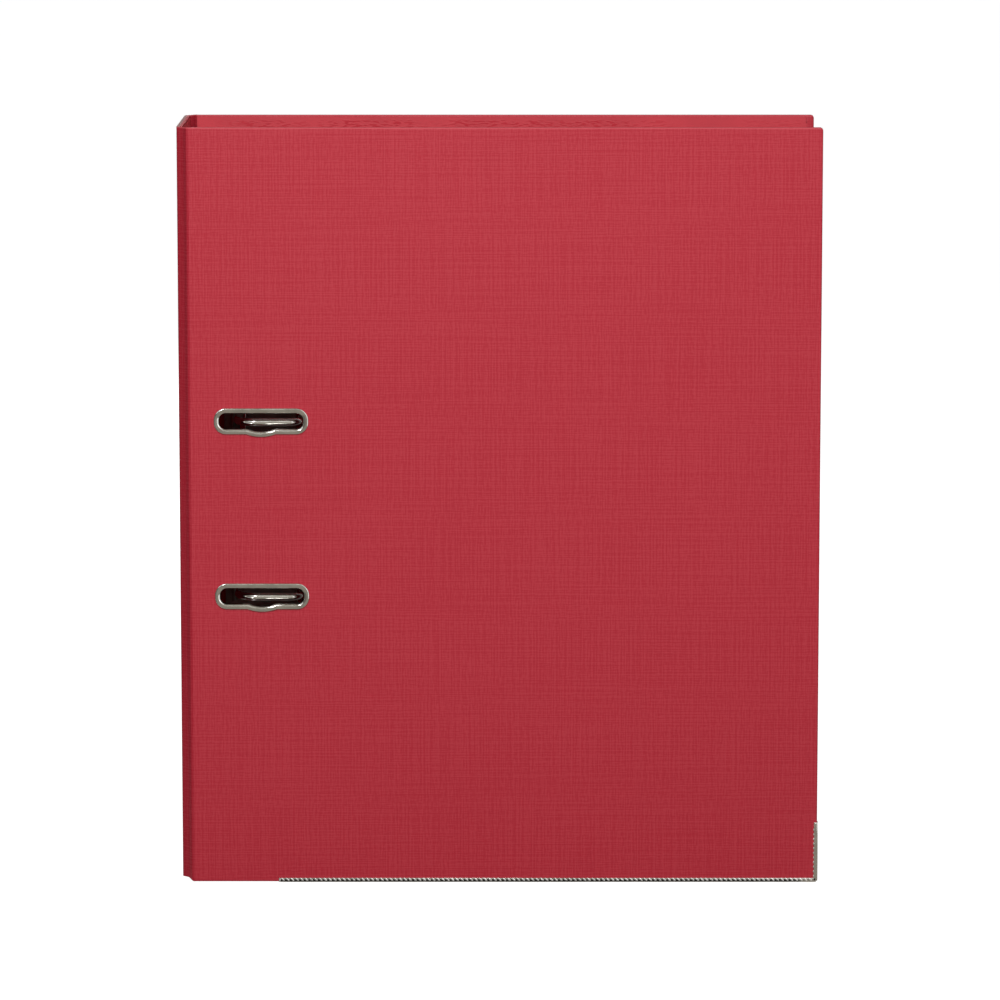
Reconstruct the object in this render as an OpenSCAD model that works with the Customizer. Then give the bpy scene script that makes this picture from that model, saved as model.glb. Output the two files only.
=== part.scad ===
// Lever arch file standing upright: covered board panels joined by folded hinge strips, with a
// ring mechanism on the inside of the back cover. X runs from the spine to the fore-edge, Y from
// the front cover to the back cover and Z up. Lengths are in millimetres.

/* [Case] */
// Height of the covers and the spine
case_h = 345; // [300:5:380]
// Width from the outside of the spine to the fore-edge, edge guards included
case_w = 290; // [270:5:320]
// Thickness of the closed case over the two cover faces
case_t = 75; // [70:1:85]
// Corner radius of the covers at the fore-edge
corner_r = 1.5; // [0.8:0.1:4]
// Height of the foot of the spine over the foot of the covers
spine_lift = 1.6; // [0.5:0.1:3]

/* [Board and paper] */
// Thickness of the grey board inside each panel
board_t = 2; // [1.6:0.1:2.6]
// Thickness of the embossed covering
cover_t = 0.25; // [0.15:0.05:0.4]
// Thickness of the lining paper
lining_t = 0.2; // [0.1:0.05:0.4]
// Width of the covering that is turned in over the board edges
turn_in = 15; // [8:1:25]
// Distance from the board edges to the lining
lining_inset = 3.4; // [2.8:0.1:6]

/* [Hinge strips] */
// Distance from the spine face to the crease of a cover
hinge_run = 5; // [4:0.5:7]
// Diameter of the bead where a strip is creased
crease_d = 0.6; // [0.4:0.1:0.8]
// Thickness of the strip between its creases
strip_t = 0.46; // [0.3:0.02:0.6]
// Room between a crease bead and the panel beside it
crease_gap = 0.3; // [0.2:0.05:0.5]

/* [Arch slots] */
// Length of the opening in a slot eyelet
slot_l = 38.1; // [34:0.1:42]
// Width of the opening in a slot eyelet
slot_w = 7.3; // [6.6:0.1:9]
// End radius of the opening
slot_end_r = 3.2; // [2:0.1:3.3]
// Distance from the spine face to the middle of the slots
slot_x = 37.3; // [36:0.1:39]
// Length of the bulge in the lower rim
bulge_l = 12.5; // [8:0.5:16]
// Depth of the bulge in the lower rim
bulge_d = 1.2; // [0.6:0.1:1.6]
// Overlap of the straight rim at the ends of the bulge
bulge_ear = 0.6; // [0.3:0.1:1]

/* [Eyelet rims] */
// Width of the domed rim
rim_w = 2.35; // [1.6:0.05:3]
// Height of the domed rim over the face
rim_h = 0.9; // [0.6:0.1:1.2]
// Height of the outer edge of the rim
rim_edge = 0.06; // [0.04:0.02:0.2]
// Distance from the opening to the crest of the rim
rim_crest = 1; // [0.6:0.1:1.3]
// Wall of the sleeve through the board
sleeve_t = 0.4; // [0.3:0.05:0.6]
// Width of the lip clinched on the inside
lip_w = 1.5; // [1:0.1:2]
// Thickness of the lip clinched on the inside
lip_t = 0.5; // [0.3:0.1:0.6]

/* [Edge guards] */
// Sheet thickness of the guards
guard_t = 0.35; // [0.25:0.05:0.5]
// Distance from the spine face to the start of the guard
guard_x = 44; // [30:1:80]
// Height of the guard on the fore-edge
guard_rise = 28; // [15:1:45]
// Depth of the legs over the cover faces
guard_leg = 2.1; // [1.6:0.1:2.6]
// Pitch of the teeth on the legs
tooth_p = 2.15; // [1.8:0.05:4]
// Depth of the teeth
tooth_d = 0.8; // [0.4:0.1:1]
// Lean of the teeth as a share of the pitch
tooth_lean = 0.75; // [0.5:0.05:0.9]
// Gap between the two legs at the corner
guard_notch = 0.5; // [0.3:0.1:1]

/* [Finger ring] */
// Radius of the finger hole in the spine
finger_r = 11.5; // [9:0.5:13]
// Height of the finger hole over the foot of the case
finger_z = 85; // [60:5:120]
// Width of the domed flange
finger_rim_w = 4; // [3:0.5:6]
// Outside width of the washer on the inner face
finger_washer_w = 3.6; // [2.5:0.1:5]
// Thickness of the washer
finger_washer_t = 0.6; // [0.4:0.1:1]

/* [Mechanism plate] */
// Distance between the two arches, set by the punched paper
ring_pitch = 80; // [80:0.5:80]
// Distance by which the mechanism sits below the middle of the slots
mech_drop = 1.4; // [0:0.1:1.5]
// Sheet thickness of the base plate
plate_t = 1; // [0.8:0.1:1.4]
// Length of the base plate along the spine
plate_l = 146; // [140:1:160]
// Distance from the spine face to the near edge of the plate
plate_x0 = 17; // [14:1:18]
// Distance from the spine face to the far edge of the plate
plate_x1 = 67; // [66:1:72]
// Corner radius of the plate
plate_r = 4; // [2:0.5:6]
// Radius of the stiffening rib
rib_r = 0.9; // [0.5:0.1:1]
// Distance from the ends of the rib to the ends of the plate
rib_in = 20; // [15:1:30]
// Inset of the rivets from the edges of the plate
rivet_in = 6; // [5:0.5:8]
// Radius of a rivet shank
rivet_r = 1.7; // [1.3:0.1:2]
// Radius of a rivet head outside the back cover
rivet_head_r = 4.5; // [3.5:0.5:6]
// Radius of the peened end of a rivet
rivet_peen_r = 2.9; // [2.6:0.1:3.5]

/* [Posts and arches] */
// Diameter of the wire
wire_d = 3.6; // [3:0.1:3.8]
// Distance from the spine face to the posts
post_x = 55; // [54:0.1:55.5]
// Height of the posts over the lining
post_v = 40; // [36:1:44]
// Step from a post to its thicker foot
post_step = 0.2; // [0.1:0.05:0.4]
// Radius of the collar at the foot of a post
collar_r = 3.2; // [2.6:0.1:3.6]
// Height of the cone on a post
cone_h = 0.9; // [0.6:0.1:1.2]
// Gap between a post and the tip of its closed arch
tip_gap = 0.6; // [0.55:0.05:0.8]
// Distance from the spine face to the axis of the bow and the legs of its arches
bow_x = 26; // [25:0.1:27]
// Height of the axis of the bow over the lining
bow_v = 4.2; // [4:0.1:4.6]
// Depth of the top of the arches behind the front cover's inner face
crown_gap = 2.3; // [2.2:0.1:6]
// Bend radius at the leg side of an arch
leg_bend = 9; // [7:0.5:10]
// Bend radius at the post side of an arch
tip_bend = 6; // [5:0.5:8]
// Bend radius at the foot of an arch
foot_bend = 5; // [4:0.5:6]
// Reach of the crank in the middle of the bow
crank_r = 10; // [9.5:0.1:10.4]
// Half width of the crank
crank_w = 9.2; // [8.8:0.1:10]
// Bend radius of the crank
crank_bend = 3.4; // [2.6:0.1:3.6]
// Distance of the bow bearings from the middle
bearing_y = 24; // [20:1:27]
// Length of a bow bearing
bearing_l = 8; // [5:0.5:10]
// Wall of a bow bearing
bearing_t = 1; // [0.8:0.1:1.4]

/* [Lever] */
// Distance from the spine face to the pivot of the lever
lever_x = 46; // [45.5:0.1:46.4]
// Height of the pivot of the lever over the lining
lever_v = 9; // [8.8:0.1:9.4]
// Half width between the cheeks of the lever
lever_in = 3.6; // [3.2:0.1:3.8]
// Sheet thickness of the lever
lever_t = 1; // [0.8:0.1:1.1]
// Distance from the spine face to the middle of the finger loop
loop_x = 12.5; // [11:0.5:14]
// Outer radius of the finger loop
loop_r = 4.5; // [3.5:0.1:5]
// Width of the finger loop
loop_w = 13; // [10:0.5:16]
// Radius of the lever's pivot pin
pivot_r = 1.5; // [1.2:0.1:1.6]
// Sheet thickness of the lugs
lug_t = 1.2; // [1:0.1:1.3]
// Width of the lugs
lug_w = 7; // [6:0.1:7]
// Radius of the cam roller
roller_r = 2.6; // [2.4:0.1:2.8]
// Radius of the roller pin
roller_pin_r = 1; // [0.8:0.1:1.2]
// Thickness of the leaf spring
leaf_t = 0.5; // [0.3:0.1:0.6]

/* [Compressor] */
// Length of the compressor bar
bar_l = 108; // [100:1:120]
// Distance from the spine face to the near edge of the bar
bar_x0 = 50.6; // [50.4:0.1:50.8]
// Distance from the spine face to the far edge of the bar
bar_x1 = 66; // [64:0.5:68]
// Height of the bar
bar_h = 4.2; // [3.8:0.1:5]
// Sheet thickness of the bar
bar_t = 0.8; // [0.6:0.1:0.9]
// Distance from the middle of the bar to the catch pivot
catch_y = 30; // [29:0.5:31]
// Radius of the catch pivot pin
catch_pin_r = 0.8; // [0.6:0.1:0.9]

/* [Fits] */
// Room round a pin that turns in a bore
run_gap = 0.06; // [0.03:0.01:0.1]
// Room round a part that is fixed in a hole
fit_gap = 0.05; // [0.02:0.01:0.1]
// Room between faces that pass each other
pass_gap = 0.3; // [0.2:0.05:0.5]

/* [Hidden] */
$fn = 48;
panel_t = board_t + 2 * cover_t + lining_t;
edge_t = board_t + 2 * cover_t;
x_mid = (case_w - rim_h) / 2;
crease_in = hinge_run + crease_d / 2 + crease_gap;
face_w = case_w - guard_t;
foot_z = guard_t;
spine_z = foot_z + spine_lift;
spine_hw = case_t / 2 - crease_in;
strip_run = hinge_run - crease_d / 2;
wire_r = wire_d / 2;
inner_v = case_t - 2 * panel_t;
slot_z = case_h / 2;
mech_z = slot_z - mech_drop;
half_pitch = ring_pitch / 2;
bulge_r = (bulge_l * bulge_l / 4 + bulge_d * bulge_d) / (2 * bulge_d);
bulge_y = bulge_r - bulge_d - slot_w / 2;
bulge_a = asin(bulge_l / 2 / bulge_r);
crown_v = inner_v - crown_gap - wire_r;
crown_x = bow_x + leg_bend;
tip_v = post_v - cone_h + tip_gap;
rivet_xs = [plate_x0 + rivet_in, plate_x1 - rivet_in];
rivet_y = plate_l / 2 - rivet_in;
roller_x = bow_x + crank_r;
roller_v = bow_v + wire_r + 0.2 + roller_r;
lug_in = lever_in + lever_t + 0.2;
cheek_v = bow_v + wire_r + 0.6;
web_v = lever_v + 3.6;
loop_v = web_v + 1.4;
neck_x = loop_x + 0.8 * loop_r;
bar_v = plate_t + 1.2;
catch_v = bar_v + bar_h / 2 - 0.2;
foot_r = wire_r + post_step;
foot_v = bar_v + bar_h + 1.4;
clear = 0.5;
dome_n = 6;

// Frames: x from the spine face, y along the height and z inward from a cover's outer face
module on_back() translate([-x_mid, case_t / 2, 0]) rotate([90, 0, 0]) children();
module on_front() mirror([0, 1, 0]) on_back() children();
// Frame of the spine: x across the spine, y along the height and z inward
module on_spine() translate([-x_mid, 0, 0]) rotate([90, 0, 90]) children();
// Frame of the mechanism: z rises from the back lining towards the front cover
module on_plate() translate([-x_mid, case_t / 2 - panel_t, mech_z]) rotate([90, 0, 0]) children();
// A bar or bore across the mechanism, along y
module along_y(x, v) translate([x, 0, v]) rotate([90, 0, 0]) children();

// Outline of a cover: square at the hinge, rounded at the fore-edge
module cover_outline(inset, hinge_inset) {
    r = corner_r - min(inset, corner_r - 0.4);
    x0 = crease_in + hinge_inset;
    x1 = face_w - inset;
    y0 = foot_z + inset;
    y1 = case_h - inset;
    translate([x0, y0]) square([x1 - r - x0, y1 - y0]);
    translate([x0, y0 + r]) square([x1 - x0, y1 - y0 - 2 * r]);
    for (y = [y0 + r, y1 - r]) translate([x1 - r, y]) circle(r);
}

// Rectangle with four rounded corners
module rounded(x0, x1, y0, y1, r) {
    translate([x0 + r, y0]) square([x1 - x0 - 2 * r, y1 - y0]);
    translate([x0, y0 + r]) square([x1 - x0, y1 - y0 - 2 * r]);
    for (x = [x0 + r, x1 - r], y = [y0 + r, y1 - r]) translate([x, y]) circle(r);
}

module spine_outline(inset) {
    translate([inset - spine_hw, spine_z + inset])
        square([2 * (spine_hw - inset), case_h - spine_z - 2 * inset]);
}

// Opening of an arch slot, grown on all sides
module slot_outline(grow) {
    hx = slot_l / 2 + grow;
    hy = slot_w / 2 + grow;
    rounded(-hx, hx, -hy, hy, slot_end_r + grow);
    intersection() {
        translate([0, bulge_y]) circle(bulge_r + grow);
        translate([-bulge_l / 2 - grow, -hy - bulge_d]) square([bulge_l + 2 * grow, hy + bulge_d]);
    }
}

module slot_cuts() {
    for (y = [slot_z - half_pitch, slot_z + half_pitch])
        translate([slot_x, y, -clear]) linear_extrude(panel_t + 2 * clear)
            slot_outline(sleeve_t + fit_gap);
}

module rivet_cuts() {
    for (x = rivet_xs, s = [-1, 1])
        translate([x, mech_z + s * rivet_y, -clear])
            cylinder(r = rivet_r + fit_gap, h = panel_t + 2 * clear);
}

module finger_cut() {
    translate([0, finger_z, -clear])
        cylinder(r = finger_r + sleeve_t + fit_gap, h = panel_t + 2 * clear);
}

module cover_board() {
    translate([0, 0, cover_t]) linear_extrude(board_t) cover_outline(cover_t, cover_t);
}

module cover_skin() {
    difference() {
        linear_extrude(edge_t) cover_outline(0, 0);
        cover_board();
        translate([0, 0, edge_t - cover_t - clear]) linear_extrude(cover_t + 2 * clear)
            cover_outline(turn_in, turn_in);
    }
}

module cover_lining() {
    translate([0, 0, edge_t - cover_t]) linear_extrude(cover_t) cover_outline(turn_in, turn_in);
    translate([0, 0, edge_t]) linear_extrude(lining_t) cover_outline(lining_inset, 0);
}

// Teeth along one edge of a guard leg
module leg_teeth(len) {
    n = floor(len / tooth_p);
    step = len / n;
    low = guard_leg - tooth_d;
    polygon(concat([[0, 0]],
        [for (i = [0 : n - 1], k = [0, 1])
            [step * (i + (k == 0 ? 0 : tooth_lean)), k == 0 ? low : guard_leg]],
        [[len, low], [len, 0]]));
}

// Outline between the face of the cover and the outside of the guard
module guard_wrap() {
    r = corner_r + guard_t;
    translate([guard_x, 0]) square([case_w - r - guard_x, guard_rise]);
    translate([guard_x, r]) square([case_w - guard_x, guard_rise - r]);
    translate([case_w - r, r]) circle(r);
}

module guard_legs() {
    low = case_w - guard_leg - guard_notch - guard_x;
    side = guard_rise - guard_leg - guard_notch;
    intersection() {
        union() {
            translate([guard_x, 0]) leg_teeth(low);
            translate([case_w, guard_rise - side]) rotate(90) leg_teeth(side);
        }
        guard_wrap();
    }
}

// Folded channel over the foot and the lower fore-edge of a cover
module edge_guard() {
    translate([0, 0, -guard_t]) linear_extrude(edge_t + 2 * guard_t) difference() {
        guard_wrap();
        cover_outline(0, 0);
    }
    translate([0, 0, -guard_t]) linear_extrude(guard_t) guard_legs();
    translate([0, 0, edge_t]) linear_extrude(guard_t) guard_legs();
}

// Cross-section of a domed rim: x out from the opening, y up from the face
module rim_section(w, crest, foot) {
    side = w - crest;
    rise = rim_h - rim_edge;
    r = (side * side + rise * rise) / (2 * rise);
    polygon(concat(
        [for (i = [0 : dome_n])
            let (x = w * i / dome_n) [x, rim_h - r + sqrt(r * r - (x - crest) * (x - crest))]],
        [[w, 0], [sleeve_t, 0]], foot));
}

module eyelet_section() {
    back = -panel_t - lip_t;
    rim_section(rim_w, rim_crest,
        [[sleeve_t, -panel_t], [lip_w, -panel_t], [lip_w, back], [0, back]]);
}

// Eyelet round an arch slot, its rim rising along z
module slot_eyelet() {
    cx = slot_l / 2 - slot_end_r;
    cy = slot_w / 2 - slot_end_r;
    for (i = [0 : 3])
        translate([i == 0 || i == 3 ? cx : -cx, i < 2 ? cy : -cy, 0]) rotate(90 * i)
            rotate_extrude(angle = 90) translate([slot_end_r, 0]) eyelet_section();
    translate([-cx, slot_w / 2, 0]) rotate([90, 0, 90]) linear_extrude(2 * cx) eyelet_section();
    for (x = [cx, bulge_ear - bulge_l / 2])
        translate([x, -slot_w / 2, 0]) rotate([90, 0, -90])
            linear_extrude(cx - bulge_l / 2 + bulge_ear) eyelet_section();
    translate([slot_l / 2, cy, 0]) rotate([90, 0, 0]) linear_extrude(2 * cy) eyelet_section();
    translate([-slot_l / 2, -cy, 0]) rotate([90, 0, 180]) linear_extrude(2 * cy) eyelet_section();
    translate([0, bulge_y, 0]) rotate(270 - bulge_a) rotate_extrude(angle = 2 * bulge_a)
        translate([bulge_r, 0]) eyelet_section();
}

module place_eyelet(s) {
    on_front() translate([slot_x, slot_z + s * half_pitch, 0]) mirror([0, 0, 1]) slot_eyelet();
}

// Strip between the creases of a cover and the spine, in plan
module strip_plan() {
    translate([hinge_run, crease_d / 2]) circle(crease_d / 2);
    translate([crease_d / 2, hinge_run]) circle(crease_d / 2);
    translate([hinge_run, crease_d / 2]) rotate(135) translate([0, -strip_t / 2])
        square([strip_run * sqrt(2), strip_t]);
}

module hinge_strip() {
    translate([-x_mid, -case_t / 2, spine_z]) linear_extrude(case_h - spine_z) strip_plan();
}

module back_board() {
    color([0.62, 0.58, 0.52]) difference() {
        on_back() cover_board();
        on_back() rivet_cuts();
    }
}

module back_covering() {
    color([0.7, 0.2, 0.25]) difference() {
        on_back() cover_skin();
        on_back() rivet_cuts();
    }
}

module back_lining() {
    color([0.72, 0.26, 0.3]) difference() {
        on_back() cover_lining();
        on_back() rivet_cuts();
    }
}

module back_edge_guard() {
    color([0.75, 0.75, 0.77]) on_back() edge_guard();
}

module plate_lug(s) {
    translate([lever_x, s * (lug_in + lug_t / 2), 0]) rotate([90, 0, 0])
        linear_extrude(lug_t, center = true) {
            translate([-lug_w / 2, plate_t / 2]) square([lug_w, lever_v - plate_t / 2]);
            translate([0, lever_v]) circle(lug_w / 2);
        }
}

module bow_bearing(s) {
    r = wire_r + run_gap + bearing_t;
    along_y(bow_x, 0) translate([0, 0, s * bearing_y]) linear_extrude(bearing_l, center = true) {
        translate([-r, plate_t / 2]) square([2 * r, bow_v - plate_t / 2]);
        translate([0, bow_v]) circle(r);
    }
}

module base_plate() {
    color([0.75, 0.75, 0.77]) on_plate() difference() {
        union() {
            linear_extrude(plate_t) rounded(plate_x0, plate_x1, -plate_l / 2, plate_l / 2, plate_r);
            along_y(plate_x0 + 4, plate_t) cylinder(r = rib_r, h = plate_l - 2 * rib_in, center = true);
            for (s = [-1, 1]) {
                plate_lug(s);
                bow_bearing(s);
            }
        }
        along_y(lever_x, lever_v)
            cylinder(r = pivot_r + fit_gap, h = 2 * (lug_in + lug_t + clear), center = true);
        along_y(bow_x, bow_v)
            cylinder(r = wire_r + run_gap, h = 2 * (bearing_y + bearing_l), center = true);
        for (x = rivet_xs, s = [-1, 1]) translate([x, s * rivet_y, -clear])
            cylinder(r = rivet_r + fit_gap, h = plate_t + 2 * clear);
        for (s = [-1, 1]) translate([post_x, s * half_pitch, -clear])
            cylinder(r = wire_r - 0.4 + fit_gap, h = plate_t + 2 * clear);
    }
}

module post() {
    cylinder(r = wire_r - 0.4, h = plate_t + 0.2);
    translate([0, 0, plate_t]) cylinder(r = collar_r, h = 0.8);
    translate([0, 0, plate_t]) cylinder(r = foot_r, h = foot_v - plate_t);
    translate([0, 0, foot_v]) cylinder(r = wire_r, h = post_v - cone_h - foot_v);
    translate([0, 0, post_v - cone_h]) cylinder(r1 = wire_r - 0.2, r2 = 0.6, h = cone_h);
}

module fixed_posts() {
    color([0.8, 0.8, 0.82]) on_plate()
        for (s = [-1, 1]) translate([post_x, s * half_pitch, 0]) post();
}

module rivet() {
    translate([0, 0, -panel_t]) rotate_extrude() intersection() {
        translate([0, 6]) circle(6 + rim_h);
        translate([0, -rim_h]) square([rivet_head_r, rim_h]);
    }
    translate([0, 0, -panel_t - rim_h / 4]) cylinder(r = rivet_r, h = panel_t + plate_t + rim_h / 2);
    translate([0, 0, plate_t]) cylinder(r1 = rivet_peen_r, r2 = rivet_peen_r - 0.5, h = 0.8);
}

module mechanism_rivets() {
    color([0.72, 0.72, 0.74]) on_plate()
        for (x = rivet_xs, s = [-1, 1]) translate([x, s * rivet_y, 0]) rivet();
}

module lever_pivot_pin() {
    out = lug_in + lug_t;
    color([0.7, 0.7, 0.72]) on_plate() along_y(lever_x, lever_v) {
        cylinder(r = pivot_r, h = 2 * out + 0.4, center = true);
        for (s = [-1, 1]) translate([0, 0, s * (out + 0.4)])
            cylinder(r = pivot_r + 0.8, h = 0.8, center = true);
    }
}

module bow_leaf_spring() {
    top = bow_v - wire_r - 0.1;
    color([0.55, 0.56, 0.6]) on_plate() along_y(0, 0) linear_extrude(7, center = true)
        polygon([[lever_x + 3, plate_t], [lever_x + 3, plate_t + leaf_t],
            [lever_x - 4, plate_t + leaf_t], [roller_x + 1, top], [roller_x - 2.4, top],
            [roller_x - 2.4, top - leaf_t], [roller_x + 0.8, top - leaf_t], [lever_x - 4.2, plate_t]]);
}

module back_hinge_strip() {
    color([0.6, 0.16, 0.2]) mirror([0, 1, 0]) hinge_strip();
}

module spine_board() {
    color([0.62, 0.58, 0.52]) on_spine() difference() {
        translate([0, 0, cover_t]) linear_extrude(board_t) spine_outline(cover_t);
        finger_cut();
    }
}

module spine_covering() {
    color([0.7, 0.2, 0.25]) on_spine() difference() {
        linear_extrude(edge_t) spine_outline(0);
        translate([0, 0, cover_t]) linear_extrude(board_t) spine_outline(cover_t);
        translate([0, 0, edge_t - cover_t - clear]) linear_extrude(cover_t + 2 * clear)
            spine_outline(turn_in);
        finger_cut();
    }
}

module spine_lining() {
    color([0.72, 0.26, 0.3]) on_spine() difference() {
        union() {
            translate([0, 0, edge_t - cover_t]) linear_extrude(cover_t) spine_outline(turn_in);
            translate([0, 0, edge_t]) linear_extrude(lining_t) intersection() {
                spine_outline(0);
                translate([-case_t, spine_z + lining_inset])
                    square([2 * case_t, case_h - spine_z - 2 * lining_inset]);
            }
        }
        finger_cut();
    }
}

module finger_ring() {
    color([0.75, 0.75, 0.77]) on_spine() translate([0, finger_z, 0]) mirror([0, 0, 1])
        rotate_extrude() translate([finger_r, 0]) rim_section(finger_rim_w, finger_rim_w * 0.4,
            [[sleeve_t, -panel_t - finger_washer_t], [0, -panel_t - finger_washer_t]]);
}

module finger_ring_washer() {
    color([0.7, 0.7, 0.72]) on_spine() translate([0, finger_z, panel_t]) difference() {
        cylinder(r = finger_r + finger_washer_w, h = finger_washer_t);
        translate([0, 0, -clear])
            cylinder(r = finger_r + sleeve_t + fit_gap, h = finger_washer_t + 2 * clear);
    }
}

module front_hinge_strip() {
    color([0.6, 0.16, 0.2]) hinge_strip();
}

module front_board() {
    color([0.62, 0.58, 0.52]) on_front() difference() {
        cover_board();
        slot_cuts();
    }
}

module front_covering() {
    color([0.7, 0.2, 0.25]) on_front() difference() {
        cover_skin();
        slot_cuts();
    }
}

module front_lining() {
    color([0.72, 0.26, 0.3]) on_front() difference() {
        cover_lining();
        slot_cuts();
    }
}

module front_edge_guard() {
    color([0.75, 0.75, 0.77]) on_front() edge_guard();
}

module upper_slot_eyelet() {
    color([0.75, 0.75, 0.77]) place_eyelet(1);
}

module lower_slot_eyelet() {
    color([0.75, 0.75, 0.77]) place_eyelet(-1);
}

// Round wire bent through an angle, in the xy plane
module wire_bend(r, a) {
    rotate_extrude(angle = a) translate([r, 0]) circle(wire_r);
}

module arch_half() {
    translate([bow_x, half_pitch - foot_bend, bow_v + foot_bend]) rotate([0, -90, 0]) rotate(90)
        wire_bend(foot_bend, 90);
    translate([bow_x, half_pitch, bow_v + foot_bend])
        cylinder(r = wire_r, h = crown_v - leg_bend - bow_v - foot_bend);
    translate([crown_x, half_pitch, crown_v - leg_bend]) rotate([90, 0, 0]) rotate(90)
        wire_bend(leg_bend, 90);
    translate([crown_x, half_pitch, crown_v]) rotate([0, 90, 0])
        cylinder(r = wire_r, h = post_x - tip_bend - crown_x);
    translate([post_x - tip_bend, half_pitch, crown_v - tip_bend]) rotate([90, 0, 0])
        wire_bend(tip_bend, 90);
    difference() {
        translate([post_x, half_pitch, tip_v])
            cylinder(r = wire_r, h = crown_v - tip_bend - tip_v);
        translate([post_x, half_pitch, tip_v - 0.01])
            cylinder(r1 = wire_r - 0.2, r2 = 0.6, h = cone_h);
    }
    translate([bow_x, crank_w + crank_bend, bow_v]) rotate([-90, 0, 0])
        cylinder(r = wire_r, h = half_pitch - foot_bend - crank_w - crank_bend);
    translate([bow_x + crank_bend, crank_w + crank_bend, bow_v]) rotate(180)
        wire_bend(crank_bend, 90);
    translate([bow_x + crank_bend, crank_w, bow_v]) rotate([0, 90, 0])
        cylinder(r = wire_r, h = crank_r - 2 * crank_bend);
    translate([bow_x + crank_r - crank_bend, crank_w - crank_bend, bow_v])
        wire_bend(crank_bend, 90);
}

module arch_bow() {
    color([0.82, 0.82, 0.84]) on_plate() {
        arch_half();
        mirror([0, 1, 0]) arch_half();
        along_y(bow_x + crank_r, bow_v)
            cylinder(r = wire_r, h = 2 * (crank_w - crank_bend), center = true);
    }
}

// Side of a lever cheek: x from the spine face, y over the lining
module cheek_outline() {
    polygon([[lever_x, cheek_v], [lever_x, web_v], [neck_x, web_v], [neck_x, web_v - 2 * lever_t],
        [loop_x + 2 * loop_r, cheek_v + 1.6 * lever_t], [bow_x + 4 * lever_t, cheek_v]]);
    translate([lever_x, lever_v]) circle(web_v - lever_v);
}

module lever_arm() {
    color([0.78, 0.78, 0.8]) on_plate() difference() {
        union() {
            for (s = [-1, 1]) along_y(0, 0) translate([0, 0, s * (lever_in + lever_t / 2)])
                linear_extrude(lever_t, center = true) cheek_outline();
            translate([neck_x, -lever_in - lever_t / 2, web_v - lever_t])
                cube([lever_x - neck_x, 2 * lever_in + lever_t, lever_t]);
            along_y(loop_x, loop_v) cylinder(r = loop_r, h = loop_w, center = true);
        }
        along_y(loop_x, loop_v) cylinder(r = loop_r - lever_t, h = loop_w + 2, center = true);
        along_y(lever_x, lever_v)
            cylinder(r = pivot_r + run_gap, h = 2 * (lever_in + lever_t + clear), center = true);
        along_y(roller_x, roller_v)
            cylinder(r = roller_pin_r + fit_gap, h = 2 * (lever_in + lever_t + clear), center = true);
    }
}

module roller_pin() {
    color([0.7, 0.7, 0.72]) on_plate() along_y(roller_x, roller_v)
        cylinder(r = roller_pin_r, h = 2 * (lever_in + lever_t) + 0.3, center = true);
}

module cam_roller() {
    color([0.85, 0.85, 0.83]) on_plate() along_y(roller_x, roller_v) difference() {
        cylinder(r = roller_r, h = 2 * (lever_in - pass_gap), center = true);
        cylinder(r = roller_pin_r + run_gap, h = 2 * lever_in, center = true);
    }
}

module compressor_bar() {
    end = bar_l / 2;
    color([0.76, 0.76, 0.78]) on_plate() difference() {
        translate([0, 0, bar_v]) linear_extrude(bar_h) rounded(bar_x0, bar_x1, -end, end, 3);
        translate([0, 0, bar_v - clear]) linear_extrude(bar_h - bar_t + clear)
            rounded(bar_x0 + bar_t, bar_x1 - bar_t, bar_t - end, end - bar_t, 3 - bar_t);
        for (s = [-1, 1]) translate([post_x, s * half_pitch, bar_v])
            cylinder(r = foot_r + pass_gap, h = bar_h + 1);
        translate([bar_x0 + 2.6, catch_y - 18.5, bar_v + bar_h / 2])
            cube([bar_x1 - bar_x0 - 5.2, 15, bar_h]);
        translate([bar_x0 - 1, catch_y, catch_v]) rotate([0, 90, 0])
            cylinder(r = catch_pin_r + fit_gap, h = bar_x1 - bar_x0 + 2);
    }
}

module catch_pin() {
    color([0.7, 0.7, 0.72]) on_plate() translate([bar_x0 - 0.2, catch_y, catch_v])
        rotate([0, 90, 0]) cylinder(r = catch_pin_r, h = bar_x1 - bar_x0 + 0.4);
}

// Side of the catch: x along the bar, y over the lining
module catch_outline() {
    jaw = half_pitch - foot_r - pass_gap;
    polygon([[jaw, bar_v + 0.3], [jaw, catch_v - 0.2], [catch_y + 2, catch_v + 1.2],
        [catch_y - 5, catch_v + 1.2], [catch_y - 9, catch_v + 2.2], [catch_y - 16.4, catch_v + 5.4],
        [catch_y - 17, catch_v + 4.6], [catch_y - 9.4, catch_v + 1], [catch_y - 5, catch_v - 0.2],
        [catch_y, catch_v - 1.5], [catch_y + 3, bar_v + 0.3]]);
}

module compressor_catch() {
    color([0.12, 0.12, 0.13]) on_plate() difference() {
        translate([bar_x0 + 3, 0, 0]) rotate([90, 0, 90])
            linear_extrude(bar_x1 - bar_x0 - 6) catch_outline();
        translate([bar_x0, catch_y, catch_v]) rotate([0, 90, 0])
            cylinder(r = catch_pin_r + run_gap, h = bar_x1 - bar_x0);
    }
}

back_board();
back_covering();
back_lining();
back_edge_guard();
base_plate();
fixed_posts();
mechanism_rivets();
lever_pivot_pin();
bow_leaf_spring();
back_hinge_strip();
spine_board();
spine_covering();
spine_lining();
finger_ring();
finger_ring_washer();
front_hinge_strip();
front_board();
front_covering();
front_lining();
front_edge_guard();
upper_slot_eyelet();
lower_slot_eyelet();
arch_bow();
lever_arm();
roller_pin();
cam_roller();
compressor_bar();
catch_pin();
compressor_catch();
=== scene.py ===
import math

import bmesh
import bpy
from bpy.props import FloatProperty, FloatVectorProperty, PointerProperty
from mathutils import Matrix, Vector


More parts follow.
